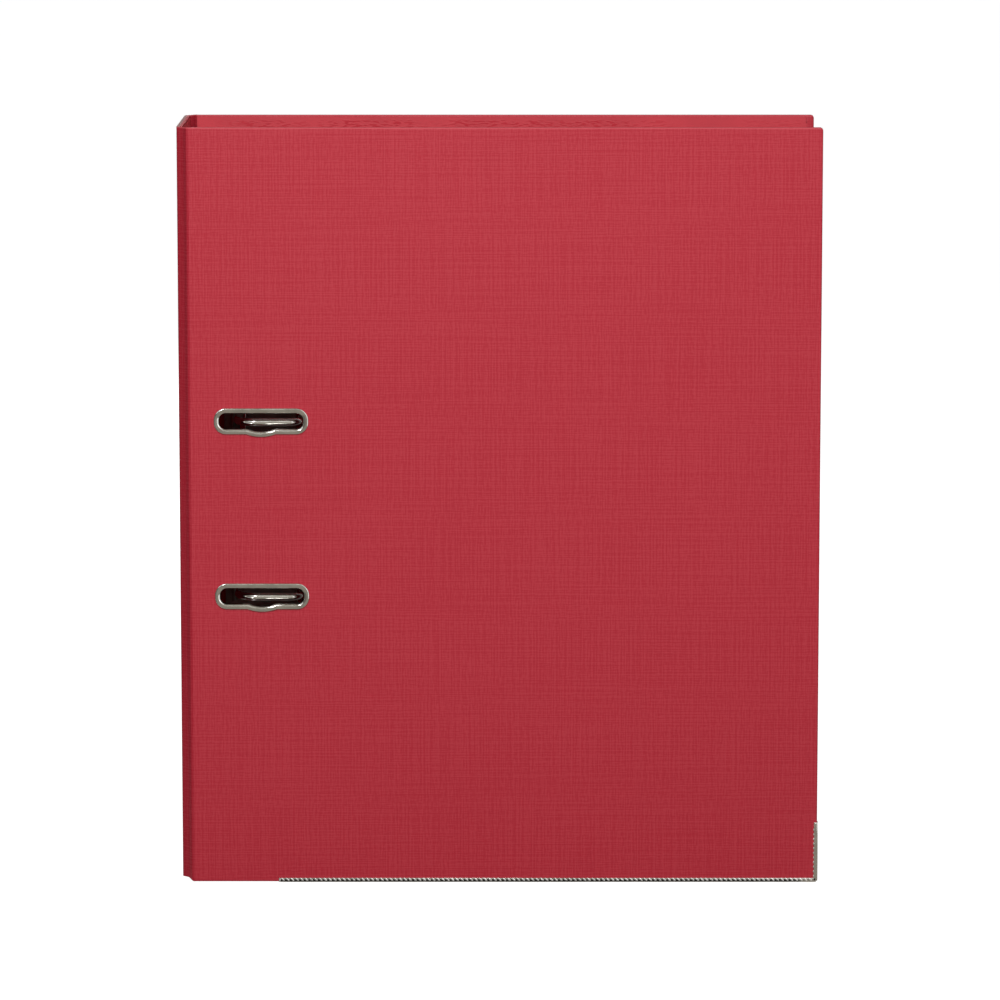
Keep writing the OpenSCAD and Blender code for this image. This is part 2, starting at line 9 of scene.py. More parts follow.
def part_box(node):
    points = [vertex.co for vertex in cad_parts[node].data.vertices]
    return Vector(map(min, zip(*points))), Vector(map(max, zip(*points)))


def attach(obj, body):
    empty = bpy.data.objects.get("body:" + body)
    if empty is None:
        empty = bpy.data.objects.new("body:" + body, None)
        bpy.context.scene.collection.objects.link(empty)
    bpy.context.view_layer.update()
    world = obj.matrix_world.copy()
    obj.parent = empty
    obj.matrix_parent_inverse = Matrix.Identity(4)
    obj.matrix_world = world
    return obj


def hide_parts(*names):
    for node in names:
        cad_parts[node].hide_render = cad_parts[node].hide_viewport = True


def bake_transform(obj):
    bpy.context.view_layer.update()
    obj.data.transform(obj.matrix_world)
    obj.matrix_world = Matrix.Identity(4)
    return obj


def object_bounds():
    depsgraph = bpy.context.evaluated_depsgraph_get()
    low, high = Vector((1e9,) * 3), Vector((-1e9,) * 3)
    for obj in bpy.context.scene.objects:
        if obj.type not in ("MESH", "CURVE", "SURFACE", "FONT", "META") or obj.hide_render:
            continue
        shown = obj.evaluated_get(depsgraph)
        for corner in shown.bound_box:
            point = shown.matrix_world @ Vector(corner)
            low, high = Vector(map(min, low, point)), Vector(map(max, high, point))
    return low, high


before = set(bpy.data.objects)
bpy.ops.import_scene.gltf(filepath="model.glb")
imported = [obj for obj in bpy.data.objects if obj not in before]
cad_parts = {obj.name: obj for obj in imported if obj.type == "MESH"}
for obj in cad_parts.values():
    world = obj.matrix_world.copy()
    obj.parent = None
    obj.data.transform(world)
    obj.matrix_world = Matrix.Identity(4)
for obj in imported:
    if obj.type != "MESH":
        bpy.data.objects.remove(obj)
CAD_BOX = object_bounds()

bl_info = {
    "name": "Lever Arch File",
    "version": (1, 0, 0),
    "blender": (4, 5, 0),
    "location": "View3D > Sidebar > Lever File",
    "description": "Covers, hinges, eyelets, edge guards and ring mechanism of a lever arch file",
    "category": "Object",
}

MM = 0.001
TINY = 1e-7
MERGE = 1e-6

# Turns from a panel's own frame (x across, y up, z out of its outer face) to the object's frame
FRONT_TURN = Matrix(((1, 0, 0), (0, 0, -1), (0, 1, 0)))
BACK_TURN = Matrix(((-1, 0, 0), (0, 0, 1), (0, 1, 0)))
SPINE_TURN = Matrix(((0, 0, -1), (-1, 0, 0), (0, 1, 0)))


def length(label, text, millimetres):
    """A size that the user may change, stored in metres."""
    return FloatProperty(name=label, description=text, default=millimetres * MM, min=0.0,
                         unit="LENGTH", subtype="DISTANCE", precision=5)


def colour(label, text, linear):
    """A finish colour that the user may change, in linear light."""
    return FloatVectorProperty(name=label, description=text, default=linear, size=3,
                               min=0.0, max=1.0, subtype="COLOR")


class LeverFileCase(bpy.types.PropertyGroup):
    """Sizes of the covered boards and the hinges."""

    edge_round: length("Edge radius", "Rounding of the covered board edges", 0.7)
    corner_round: length("Corner radius", "Rounding of the covers at the fore-edge", 1.5)
    sheet: length("Covering", "Thickness of the embossed covering", 0.25)
    turn_in: length("Turn-in", "Width of the covering turned in over the edges", 10.0)
    strip: length("Hinge covering", "Thickness of the covering and lining at a hinge", 0.46)
    lining_rise: length("Lining rise", "Part of the head margin that the linings cover", 2.4)


class LeverFileMetal(bpy.types.PropertyGroup):
    """Sizes of the plated trim."""

    slot_length: length("Slot length", "Length of the opening in a slot eyelet", 38.1)
    slot_width: length("Slot width", "Width of the opening in a slot eyelet", 7.3)
    slot_end: length("Slot end radius", "Corner radius of the opening", 3.2)
    bulge_length: length("Bulge length", "Length of the bulge in the lower rim", 12.5)
    bulge_depth: length("Bulge depth", "Depth of the bulge in the lower rim", 1.2)
    rim_width: length("Rim width", "Width of the domed rim of an eyelet", 2.33)
    rim_height: length("Rim height", "Height of the domed rim of an eyelet", 0.9)
    finger_radius: length("Finger hole", "Radius of the finger hole in the spine", 11.5)
    finger_rim: length("Finger rim", "Width of the rim of the finger ring", 4.0)
    guard_sheet: length("Guard sheet", "Sheet thickness of the edge guards", 0.35)
    guard_leg: length("Guard leg", "Depth of the guard legs along the foot", 2.1)
    side_leg: length("Side leg", "Depth of the guard legs on the fore-edge", 1.85)
    tooth_pitch: length("Tooth pitch", "Distance between the pressed teeth", 2.15)
    soft_edge: length("Soft edge", "Rounding of the pressed sheet edges", 0.22)


class LeverFileFinish(bpy.types.PropertyGroup):
    """Colours of the finishes."""

    linen: colour("Linen red", "Embossed covering", (0.430, 0.0225, 0.0385))
    lining: colour("Lining red", "Smooth lining paper", (0.520, 0.0400, 0.0560))
    board: colour("Grey board", "Board core at cut edges", (0.30, 0.26, 0.21))
    nickel: colour("Nickel", "Plated sheet steel", (0.63, 0.61, 0.57))
    plate: colour("Satin plate", "Base plate of the mechanism", (0.36, 0.35, 0.33))
    bright: colour("Bright wire", "Plated wire of the arches and posts", (0.76, 0.74, 0.71))
    spring: colour("Spring steel", "Oiled leaf spring", (0.24, 0.25, 0.28))
    roller: colour("Roller", "Natural plastic", (0.70, 0.68, 0.62))
    catch: colour("Catch", "Black plastic", (0.012, 0.012, 0.013))


class LeverFileStage(bpy.types.PropertyGroup):
    """Camera and studio light."""

    distance: FloatProperty(name="Camera distance", description="From the camera to the file",
                            default=2.4, unit="LENGTH", subtype="DISTANCE")
    rise: FloatProperty(name="Camera rise", description="Angle of the view above the horizon",
                        default=math.radians(8.6), unit="ROTATION", subtype="ANGLE")
    aim: FloatVectorProperty(name="Aim", description="Place on the cover at the middle of the view",
                             default=(0.0005, 0.1766), size=2, unit="LENGTH", subtype="TRANSLATION")
    view_width: FloatProperty(name="View width", description="Width of the view at the front cover",
                              default=0.4518, unit="LENGTH", subtype="DISTANCE")
    key: FloatProperty(name="Key light", description="Power of the overhead softbox",
                       default=13.4, unit="POWER")
    fill: FloatProperty(name="Fill light", description="Power of the side softbox",
                        default=3.0, unit="POWER")
    back: FloatProperty(name="Back light", description="Power of the softbox behind the file",
                        default=22.0, unit="POWER")
    ambient: FloatProperty(name="Ambient light", description="Level of the room light",
                           default=0.12, min=0.0, max=2.0)
    floor_glow: FloatProperty(name="Floor glow", description="White added to the floor in view",
                              default=0.965, min=0.0, max=1.0)


# Shader building

def add_node(tree, kind, inputs=None, **options):
    """Add a shader node with its options, socket values and incoming links."""
    made = tree.nodes.new(kind)
    for name, value in options.items():
        setattr(made, name, value)
    for socket, value in (inputs or {}).items():
        if isinstance(value, bpy.types.NodeSocket):
            tree.links.new(value, made.inputs[socket])
        else:
            made.inputs[socket].default_value = value
    return made


def calc(tree, operation, first, second=0.0):
    """One step of arithmetic on shader values."""
    return add_node(tree, "ShaderNodeMath", {0: first, 1: second}, operation=operation).outputs[0]


def ramp(tree, value, low, high, start=0.0, end=1.0):
    """Ease a shader value from one range to another."""
    return add_node(tree, "ShaderNodeMapRange",
                    {"Value": value, "From Min": low, "From Max": high,
                     "To Min": start, "To Max": end},
                    interpolation_type="SMOOTHSTEP").outputs["Result"]


def weighted(tree, first, share, second, rest):
    """Sum of two shader values, each by its share."""
    return calc(tree, "ADD", calc(tree, "MULTIPLY", first, share),
                calc(tree, "MULTIPLY", second, rest))


def stretched_noise(tree, coordinate, spread, shift=0.0, detail=1.0, **options):
    """Noise whose grains have the given size along each axis."""
    scaled = add_node(tree, "ShaderNodeVectorMath",
                      {0: coordinate, 1: [1.0 / s if s else 0.0 for s in spread], 2: (shift,) * 3},
                      operation="MULTIPLY_ADD").outputs[0]
    return add_node(tree, "ShaderNodeTexNoise",
                    {"Vector": scaled, "Scale": 1.0, "Detail": detail}, **options).outputs["Fac"]


def mixed(tree, factor, first, second):
    """Blend two colours."""
    return add_node(tree, "ShaderNodeMix", {0: factor, 6: first, 7: second},
                    data_type="RGBA").outputs[2]


# Change of the covering's colour on a thread: as a share of it, a tone of the cloth, and as a pale
# film over it, which is painted sheen on raised threads and painted shade on sunken ones
THREAD_SHARE, THREAD_PAINTED_SHEEN = 0.044, 0.0068


def thread_colour(base, sheen):
    """Covering colour on a raised (1) or sunken (-1) thread, with a painted sheen on raised
    threads.
    """
    return tuple(c * (1 + THREAD_SHARE * sheen) + THREAD_PAINTED_SHEEN * sheen for c in base) + (1.0,)


def scaled_colour(base, factor):
    """A lighter or darker tone of a colour."""
    return tuple(min(1.0, c * factor) for c in base) + (1.0,)


def new_group(name, inputs, outputs):
    """Start a shader group with named sockets."""
    tree = bpy.data.node_groups.new(name, "ShaderNodeTree")
    for label, kind in inputs:
        tree.interface.new_socket(name=label, in_out="INPUT", socket_type=kind)
    for label in outputs:
        tree.interface.new_socket(name=label, in_out="OUTPUT", socket_type="NodeSocketFloat")
    return tree, tree.nodes.new("NodeGroupInput").outputs, tree.nodes.new("NodeGroupOutput").inputs


# Threads of the emboss: the way across them and along them, their width, the start of their noise
UPRIGHT_THREADS = (Vector((1, 0, 0)), Vector((0, 1, 0)), 0.44 * MM, 3.1)
LEVEL_THREADS = (Vector((0, 1, 0)), Vector((1, 0, 0)), 0.36 * MM, 7.7)
# Each thread is long yarn with short knots, and shades the next one at a step of its own width
YARN_LENGTH, KNOT_LENGTH = 44 * MM, 3.4 * MM
YARN_SHARE, KNOT_SHARE = 0.58, 0.42
KNOT_START = 11.3
THREAD_STEP, THREAD_SHADE = 1.7, 0.50
CLOUD_SIZE = 60 * MM


def linen_group():
    """Crossing threads of uneven thickness, pressed into the covering."""
    found = bpy.data.node_groups.get("linen_emboss")
    if found:
        return found
    tree, given, wanted = new_group("linen_emboss", [("Cloth", "NodeSocketVector")],
                                    ["Height", "Shade"])
    cloth = given["Cloth"]
    threads = []
    for across, along, width, start in (UPRIGHT_THREADS, LEVEL_THREADS):
        step = add_node(tree, "ShaderNodeVectorMath", {0: cloth, 1: across * THREAD_STEP * width},
                        operation="ADD").outputs[0]
        sides = []
        for spot in (cloth, step):
            yarn = stretched_noise(tree, spot, across * width + along * YARN_LENGTH, start, 0.0)
            knots = stretched_noise(tree, spot, across * width + along * KNOT_LENGTH,
                                    start + KNOT_START, 0.0)
            uneven = weighted(tree, yarn, YARN_SHARE, knots, KNOT_SHARE)
            sides.append(ramp(tree, uneven, 0.37, 0.63))
        shaded = calc(tree, "MULTIPLY", sides[1], THREAD_SHADE)
        threads.append(calc(tree, "SUBTRACT", sides[0], shaded))
    both = calc(tree, "ADD", threads[0], threads[1])
    height = calc(tree, "ADD", calc(tree, "MULTIPLY", both, 0.3), 0.35)
    tree.links.new(height, wanted["Height"])
    cloud = stretched_noise(tree, cloth, (CLOUD_SIZE, CLOUD_SIZE, 0), 2.2, 1.0)
    tree.links.new(weighted(tree, height, 0.9, cloud, 0.1), wanted["Shade"])
    return tree


def fibre_group():
    """Faint cloud and fibre of paper and board."""
    found = bpy.data.node_groups.get("paper_fibre")
    if found:
        return found
    tree, given, wanted = new_group("paper_fibre", [("Coordinate", "NodeSocketVector")],
                                    ["Fibre", "Cloud"])
    spot = given["Coordinate"]
    tree.links.new(stretched_noise(tree, spot, (0.5 * MM,) * 3, 0.4, 3.0), wanted["Fibre"])
    tree.links.new(stretched_noise(tree, spot, (24 * MM,) * 3, 4.1, 2.0), wanted["Cloud"])
    return tree


def plating_group():
    """Polishing lines and handling marks on plated metal."""
    found = bpy.data.node_groups.get("plating_marks")
    if found:
        return found
    tree, given, wanted = new_group("plating_marks", [("Coordinate", "NodeSocketVector")],
                                    ["Lines", "Smudge"])
    spot = given["Coordinate"]
    lines = stretched_noise(tree, spot, (6 * MM, 0.25 * MM, 0.25 * MM), 2.5, 2.0)
    tree.links.new(lines, wanted["Lines"])
    tree.links.new(stretched_noise(tree, spot, (7 * MM,) * 3, 6.4, 3.0), wanted["Smudge"])
    return tree


def new_material(name, **values):
    """A principled material whose plain values are set on the shader's own sockets."""
    made = bpy.data.materials.new(name)
    made.use_nodes = True
    shader = made.node_tree.nodes["Principled BSDF"]
    for socket, value in values.items():
        shader.inputs[socket.replace("_", " ")].default_value = value
    return made, made.node_tree, shader


def place_group(tree, group, socket, value):
    """Put a shared group into a material."""
    made = add_node(tree, "ShaderNodeGroup", node_tree=group)
    tree.links.new(value, made.inputs[socket])
    return made.outputs


def object_coordinate(tree):
    """Place on the piece, from which the patterns are made."""
    return add_node(tree, "ShaderNodeTexCoord").outputs["Object"]


def bump(tree, shader, height, strength, depth):
    """Feed a height into the shader's normal."""
    made = add_node(tree, "ShaderNodeBump",
                    {"Height": height, "Strength": strength, "Distance": depth})
    tree.links.new(made.outputs["Normal"], shader.inputs["Normal"])


# Painted highlight along the head of each covering, where its rounded edge meets the light, and a
# greyer tone at the head of the spine
HEAD_PAINTED_HIGHLIGHT = (0.62, 0.11, 0.13, 1.0)
GREY_HEAD = (0.36, 0.22, 0.21, 1.0)


def linen_material(name, across, grey_corner=None, tone=1.0, gloss=0.24):
    """Red embossed covering; across is the way round the case, grey_corner the outer corner of a
    greyer head.
    """
    found = bpy.data.materials.get(name)
    if found:
        return found
    # A tone below one paints shade into the covering, as on the hinges
    red = scaled_colour(bpy.context.scene.lever_finish.linen, tone)[:3]
    made, tree, shader = new_material(name, Specular_IOR_Level=gloss)
    spot = object_coordinate(tree)
    along = add_node(tree, "ShaderNodeVectorMath", {0: spot, 1: across}, operation="DOT_PRODUCT")
    height = add_node(tree, "ShaderNodeSeparateXYZ", {0: spot}).outputs["Z"]
    cloth = add_node(tree, "ShaderNodeCombineXYZ",
                     {"X": along.outputs["Value"], "Y": height}).outputs[0]
    weave = place_group(tree, linen_group(), "Cloth", cloth)
    # Threads from sunken to raised, their pale film a painted sheen
    tint = mixed(tree, ramp(tree, weave["Shade"], 0.25, 0.75),
                 thread_colour(red, -1.0), thread_colour(red, 1.0))
    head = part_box("front_covering")[1].z
    # Painted highlight: the covering is made paler within a millimetre of its head
    head_highlight = ramp(tree, height, head - 0.8 * MM, head - 0.3 * MM, 0.0, 0.5)
    tint = mixed(tree, head_highlight, tint, HEAD_PAINTED_HIGHLIGHT)
    if grey_corner:
        # The head of the spine is given a greyer tone towards its outer corner
        side = add_node(tree, "ShaderNodeSeparateXYZ", {0: spot}).outputs["X"]
        high = ramp(tree, height, grey_corner.z - 0.55 * MM, grey_corner.z - 0.1 * MM, 0.0, 0.8)
        outer = ramp(tree, side, grey_corner.x + 1.7 * MM, grey_corner.x + 0.9 * MM)
        tint = mixed(tree, calc(tree, "MULTIPLY", high, outer), tint, GREY_HEAD)
    tree.links.new(tint, shader.inputs["Base Color"])
    tree.links.new(ramp(tree, weave["Height"], 0.2, 0.8, 0.62, 0.50), shader.inputs["Roughness"])
    bump(tree, shader, weave["Height"], 0.30, 0.09 * MM)
    return made


def lining_material():
    """Smooth red paper, puckered where it was glued down near its ends, with painted shade in the
    puckers.
    """
    found = bpy.data.materials.get("lining_paper")
    if found:
        return found
    red = bpy.context.scene.lever_finish.lining
    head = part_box("back_covering")[1].z
    made, tree, shader = new_material("lining_paper", Specular_IOR_Level=0.22)
    spot = object_coordinate(tree)
    paper = place_group(tree, fibre_group(), "Coordinate", spot)
    z = add_node(tree, "ShaderNodeSeparateXYZ", {0: spot}).outputs["Z"]
    glued = calc(tree, "MULTIPLY", ramp(tree, z, head - 8 * MM, head - 4.5 * MM),
                 ramp(tree, z, head - 1.6 * MM, head - 2.8 * MM))
    small = stretched_noise(tree, spot, (3.2 * MM, 3.2 * MM, 0.75 * MM), 1.3)
    large = stretched_noise(tree, spot, (45 * MM,) * 3, 8.2)
    folds, patch = ramp(tree, small, 0.48, 0.62), ramp(tree, large, 0.40, 0.56)
    pucker = calc(tree, "MULTIPLY", calc(tree, "MULTIPLY", folds, patch), glued)
    tint = weighted(tree, paper["Cloud"], 0.6, paper["Fibre"], 0.4)
    plain = mixed(tree, ramp(tree, tint, 0.3, 0.7),
                  scaled_colour(red, 0.93), scaled_colour(red, 1.07))
    # Painted shade: the puckers are coloured darker where their folds would lie in shade
    pucker_shade = (0.86 * red[0], 0.36 * red[1], 0.50 * red[2], 1.0)
    tree.links.new(mixed(tree, pucker, plain, pucker_shade), shader.inputs["Base Color"])
    tree.links.new(ramp(tree, paper["Fibre"], 0.3, 0.7, 0.42, 0.55), shader.inputs["Roughness"])
    relief = calc(tree, "ADD", calc(tree, "MULTIPLY", paper["Fibre"], 0.1), pucker)
    bump(tree, shader, relief, 0.4, 0.2 * MM)
    return made


def board_material():
    """Speckled grey board."""
    found = bpy.data.materials.get("grey_board")
    if found:
        return found
    grey = bpy.context.scene.lever_finish.board
    made, tree, shader = new_material("grey_board", Specular_IOR_Level=0.2)
    paper = place_group(tree, fibre_group(), "Coordinate", object_coordinate(tree))
    speck = ramp(tree, paper["Fibre"], 0.3, 0.7)
    tree.links.new(mixed(tree, speck, scaled_colour(grey, 0.75), scaled_colour(grey, 1.15)),
                   shader.inputs["Base Color"])
    tree.links.new(ramp(tree, paper["Cloud"], 0.3, 0.7, 0.82, 0.95), shader.inputs["Roughness"])
    bump(tree, shader, paper["Fibre"], 0.4, 0.08 * MM)
    return made


def metal_material(name, tone, smooth, rough):
    """Plated or polished steel."""
    found = bpy.data.materials.get(name)
    if found:
        return found
    made, tree, shader = new_material(name, Metallic=1.0)
    marks = place_group(tree, plating_group(), "Coordinate", object_coordinate(tree))
    tint = mixed(tree, ramp(tree, marks["Smudge"], 0.3, 0.7),
                 scaled_colour(tone, 0.88), scaled_colour(tone, 1.06))
    tree.links.new(tint, shader.inputs["Base Color"])
    wear = weighted(tree, marks["Lines"], 0.4, marks["Smudge"], 0.6)
    tree.links.new(ramp(tree, wear, 0.3, 0.7, smooth, rough), shader.inputs["Roughness"])
    bump(tree, shader, marks["Lines"], 0.06, 0.02 * MM)
    return made


def plastic_material(name, tone, rough):
    """Moulded plastic with a fine grain."""
    found = bpy.data.materials.get(name)
    if found:
        return found
    made, tree, shader = new_material(name)
    grain = place_group(tree, fibre_group(), "Coordinate", object_coordinate(tree))
    tint = mixed(tree, grain["Cloud"], scaled_colour(tone, 0.85), scaled_colour(tone, 1.15))
    tree.links.new(tint, shader.inputs["Base Color"])
    tree.links.new(ramp(tree, grain["Fibre"], 0.3, 0.7, rough - 0.06, rough + 0.08),
                   shader.inputs["Roughness"])
    bump(tree, shader, grain["Fibre"], 0.12, 0.05 * MM)
    return made


# The way round the case on either side of the spine
ROUND_FRONT, ROUND_BACK = (1.0, -1.0, 0.0), (1.0, 1.0, 0.0)


def front_linen():
    """Covering of the front cover."""
    return linen_material("linen_red_front", ROUND_FRONT)


def spine_linen():
    """Covering of the spine, greyer at the head."""
    lo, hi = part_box("spine_covering")
    return linen_material("linen_red_spine", ROUND_FRONT, Vector((lo.x, 0.0, hi.z)))


def back_linen():
    """Covering of the back cover."""
    return linen_material("linen_red_back", ROUND_BACK)


def shaded_fold_linen(side):
    """Covering over a hinge, duller, and darker as painted shade where the hinge turns away from
    the light.
    """
    across = ROUND_FRONT if side == "front" else ROUND_BACK
    return linen_material("linen_fold_" + side, across, tone=0.84, gloss=0.08)


def nickel():
    """Polished plating of the sheet metal, rivets and pins."""
    return metal_material("nickel_sheet", bpy.context.scene.lever_finish.nickel, 0.07, 0.14)


def rubbed_nickel():
    """Plating of the raised teeth, rubbed dull."""
    return metal_material("nickel_rubbed", bpy.context.scene.lever_finish.bright, 0.40, 0.50)


def satin_plate():
    """Dull plating of the base plate."""
    return metal_material("nickel_satin", bpy.context.scene.lever_finish.plate, 0.42, 0.55)


def bright_wire():
    """Bright plating of the arches and posts."""
    return metal_material("nickel_wire", bpy.context.scene.lever_finish.bright, 0.09, 0.17)


# Mesh building

def finish_piece(name, bm, material, sharp=35.0):
    """Make a bmesh an object, smooth between edges sharper than the angle, or flat without one."""
    mesh = bpy.data.meshes.new(name)
    bm.to_mesh(mesh)
    bm.free()
    if sharp:
        mesh.shade_smooth()
        mesh.set_sharp_from_angle(angle=math.radians(sharp))
    mesh.materials.append(material)
    piece = bpy.data.objects.new(name, mesh)
    bpy.context.scene.collection.objects.link(piece)
    return piece


def seat(piece, body, slot, *nodes):
    """Let a piece ride on a body in the place of CAD nodes."""
    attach(piece, body)
    if nodes:
        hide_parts(*nodes)
    return piece


def verts_of(geom):
    """Vertices among the geometry that an operator made."""
    return [g for g in geom if isinstance(g, bmesh.types.BMVert)]


def strip(bm, line, span):
    """Draw a line through points and sweep it along a span; gives the new geometry."""
    verts = [bm.verts.new(spot) for spot in line]
    edges = [bm.edges.new(pair) for pair in zip(verts, verts[1:])]
    made = bmesh.ops.extrude_edge_only(bm, edges=edges)["geom"]
    bmesh.ops.translate(bm, vec=span, verts=verts_of(made))
    return made


def flat_panel(bm, width, height, corner, rounded):
    """A flat panel round the origin whose chosen corners are rounded."""
    bmesh.ops.create_grid(bm, x_segments=1, y_segments=1, size=0.5)
    bmesh.ops.scale(bm, vec=(width, height, 1.0), verts=bm.verts)
    corners = [v for v in bm.verts if rounded(v.co)]
    if corners:
        bmesh.ops.bevel(bm, geom=corners, offset=corner, segments=8, offset_type="OFFSET",
                        profile=0.5, affect="VERTICES", material=-1)
    return bm.faces[:][0]


BULGE_STEPS = 12


def slot_outline(bm, sizes, grow, centre):
    """Outline of an arch slot with the bulge of its lower side, as a face."""
    half_l, half_w = sizes.slot_length / 2 + grow, sizes.slot_width / 2 + grow
    old = set(bm.verts)
    bmesh.ops.create_grid(bm, x_segments=1, y_segments=1, size=0.5)
    fresh = [v for v in bm.verts if v not in old]
    bmesh.ops.scale(bm, vec=(2 * half_l, 2 * half_w, 1.0), verts=fresh)
    bmesh.ops.bevel(bm, geom=fresh, offset=sizes.slot_end + grow, segments=10, offset_type="OFFSET",
                    profile=0.5, affect="VERTICES", material=-1)
    fresh = [v for v in bm.verts if v not in old]
    start, end = sorted((v for v in fresh if abs(v.co.y + half_w) < TINY), key=lambda v: v.co.x)
    half, depth = sizes.bulge_length / 2 + 0.2 * grow, sizes.bulge_depth
    radius = (half * half + depth * depth) / (2 * depth)
    corner = start
    for step in range(BULGE_STEPS + 1):
        x = half * (2 * step / BULGE_STEPS - 1)
        low = [e for e in corner.link_edges if e.other_vert(corner) is end][0]
        share = (x - corner.co.x) / (end.co.x - corner.co.x)
        corner = bmesh.utils.edge_split(low, corner, share)[1]
        corner.co.y = radius - depth - half_w - math.sqrt(radius * radius - x * x)
        fresh.append(corner)
    bmesh.ops.translate(bm, vec=centre, verts=fresh)
    return end.link_faces[0]


def panel_shell(width, height, thick, rounded, hinge_side, case, openings):
    """Covering wrapped round a board: outer face, rounded edges and turned-in margin."""
    bm = bmesh.new()
    face = flat_panel(bm, width, height, case.corner_round, rounded)
    moved = bmesh.ops.extrude_face_region(bm, geom=[face])["geom"]
    bmesh.ops.translate(bm, vec=(0, 0, -thick), verts=verts_of(moved))
    bmesh.ops.recalc_face_normals(bm, faces=bm.faces)
    rim = [e for e in bm.edges if abs(e.verts[0].co.z - e.verts[1].co.z) < TINY
           and not all(hinge_side(v.co) for v in e.verts)]
    bmesh.ops.bevel(bm, geom=rim, offset=case.edge_round, offset_type="OFFSET", segments=4,
                    profile=0.5, affect="EDGES", clamp_overlap=True, material=-1)
    outer = max((f for f in bm.faces if f.normal.z > 0.99), key=lambda f: f.calc_area())
    inner = max((f for f in bm.faces if f.normal.z < -0.99), key=lambda f: f.calc_area())
    bmesh.ops.inset_region(bm, faces=[outer], thickness=case.edge_round / 2, use_boundary=True,
                           use_even_offset=True)
    size = Matrix.Diagonal((width - 2 * case.turn_in, height - 2 * case.turn_in, 1.0, 1.0))
    bare = bmesh.ops.create_grid(bm, x_segments=1, y_segments=1, size=0.5,
                                 matrix=Matrix.Translation((0, 0, -thick)) @ size)["verts"]
    refill(bm, [inner, bare[0].link_faces[0]], -1)
    refill(bm, [outer] + [opening(bm) for opening in openings], 1)
    thicken(bm, case.sheet, Vector((0, 0, 1)))
    return bm


def refill(bm, faces, up):
    """Fill the first of the level faces again, with the others left open as holes in it."""
    border = list(dict.fromkeys(e for f in faces for e in f.edges))
    bmesh.ops.delete(bm, geom=faces, context="FACES_ONLY")
    bmesh.ops.triangle_fill(bm, use_beauty=True, edges=border, normal=(0, 0, up))


def place_bm(bm, turn, origin):
    """Carry a bmesh from a panel's own frame into the object's frame."""
    bmesh.ops.transform(bm, matrix=Matrix.Translation(origin) @ turn.to_4x4(), verts=bm.verts)


def thicken(bm, thickness, outward):
    """Give an open skin, whose largest part faces outward, its thickness on the inner side."""
    bmesh.ops.recalc_face_normals(bm, faces=bm.faces)
    facing = [(f.normal.dot(outward), f.calc_area()) for f in bm.faces]
    if sum(turn * area for turn, area in facing if turn ** 2 > 0.1) < 0:
        bmesh.ops.reverse_faces(bm, faces=bm.faces)
    bmesh.ops.solidify(bm, geom=bm.faces[:], thickness=thickness)
    bmesh.ops.recalc_face_normals(bm, faces=bm.faces)


def sweep_section(bm, face, section):
    """Carry a closed section (out from the edge, up from the face) round the edge of a face."""
    ring = [loop.vert for loop in face.loops]
    base = {}
    for i, v in enumerate(ring):
        before = (v.co - ring[i - 1].co).normalized()
        after = (ring[(i + 1) % len(ring)].co - v.co).normalized()
        middle = (before + after).normalized()
        out = middle.cross(face.normal)
        base[v] = (v.co.copy(), out / max(0.5, middle.dot(after)))
    up = face.normal.copy()
    first = edges = face.edges[:]
    bmesh.ops.delete(bm, geom=[face], context="FACES_ONLY")
    for step, (away, rise) in enumerate(section):
        if step:
            made = bmesh.ops.extrude_edge_only(bm, edges=edges)["geom"]
            fresh = {g for g in made if isinstance(g, bmesh.types.BMVert)}
            edges = [g for g in made if isinstance(g, bmesh.types.BMEdge)
                     and all(v in fresh for v in g.verts)]
            for v in fresh:
                source = [e.other_vert(v) for e in v.link_edges if e.other_vert(v) not in fresh][0]
                base[v] = base[source]
            ring = fresh
        for v in ring:
            spot, out = base[v]
            v.co = spot + out * away + up * rise
    bmesh.ops.bridge_loops(bm, edges=first + edges)
    bmesh.ops.recalc_face_normals(bm, faces=bm.faces)


def extruded_profile(points, z0, z1):
    """A bent skin whose plan runs through the points."""
    bm = bmesh.new()
    strip(bm, [(x, y, z0) for x, y in points], (0, 0, z1 - z0))
    upright = [e for e in bm.edges if abs(e.verts[0].co.z - e.verts[1].co.z) > TINY]
    bmesh.ops.subdivide_edges(bm, edges=upright, cuts=9, use_grid_fill=True)
    return bm


def smooth_line(points, steps):
    """Points on a smooth line through the given ones."""
    line = []
    last = len(points) - 1
    for i in range(last):
        p0, p1, p2, p3 = (Vector(points[max(0, min(last, i + k))]) for k in (-1, 0, 1, 2))
        for s in range(steps):
            t = s / steps
            line.append(0.5 * (2 * p1 + (p2 - p0) * t
                               + (2 * p0 - 5 * p1 + 4 * p2 - p3) * t * t
                               + (3 * p1 - p0 - 3 * p2 + p3) * t ** 3))
    line.append(Vector(points[-1]))
    return line


def merged_copy(node):
    """A copy of a CAD node with its loose triangles joined."""
    bm = bmesh.new()
    bm.from_mesh(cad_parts[node].data)
    bmesh.ops.remove_doubles(bm, verts=bm.verts, dist=MERGE)
    return bm


# Edges that turn by more than the first angle are rounded, and by less than the second dissolved
HARD_EDGE, LEVEL_EDGE = math.radians(38.0), math.radians(0.5)


def softened_copy(node, width):
    """A copy of a CAD node whose hard edges are rounded."""
    bm = merged_copy(node)
    bmesh.ops.dissolve_limit(bm, angle_limit=LEVEL_EDGE, verts=bm.verts, edges=bm.edges)
    hard = [e for e in bm.edges if e.is_manifold and e.calc_face_angle() > HARD_EDGE]
    bmesh.ops.bevel(bm, geom=hard, offset=width, offset_type="OFFSET", segments=2, profile=0.5,
                    affect="EDGES", clamp_overlap=True, material=-1)
    bmesh.ops.recalc_face_normals(bm, faces=bm.faces)
    return bm


# Pieces

EYELETS = ("upper_slot_eyelet", "lower_slot_eyelet")
# Reach of an eyelet above its slot, and how much wider the covering is cut than slot or hole
EYELET_REACH, OPENING_ROOM = 2.35 * MM, 0.5 * MM


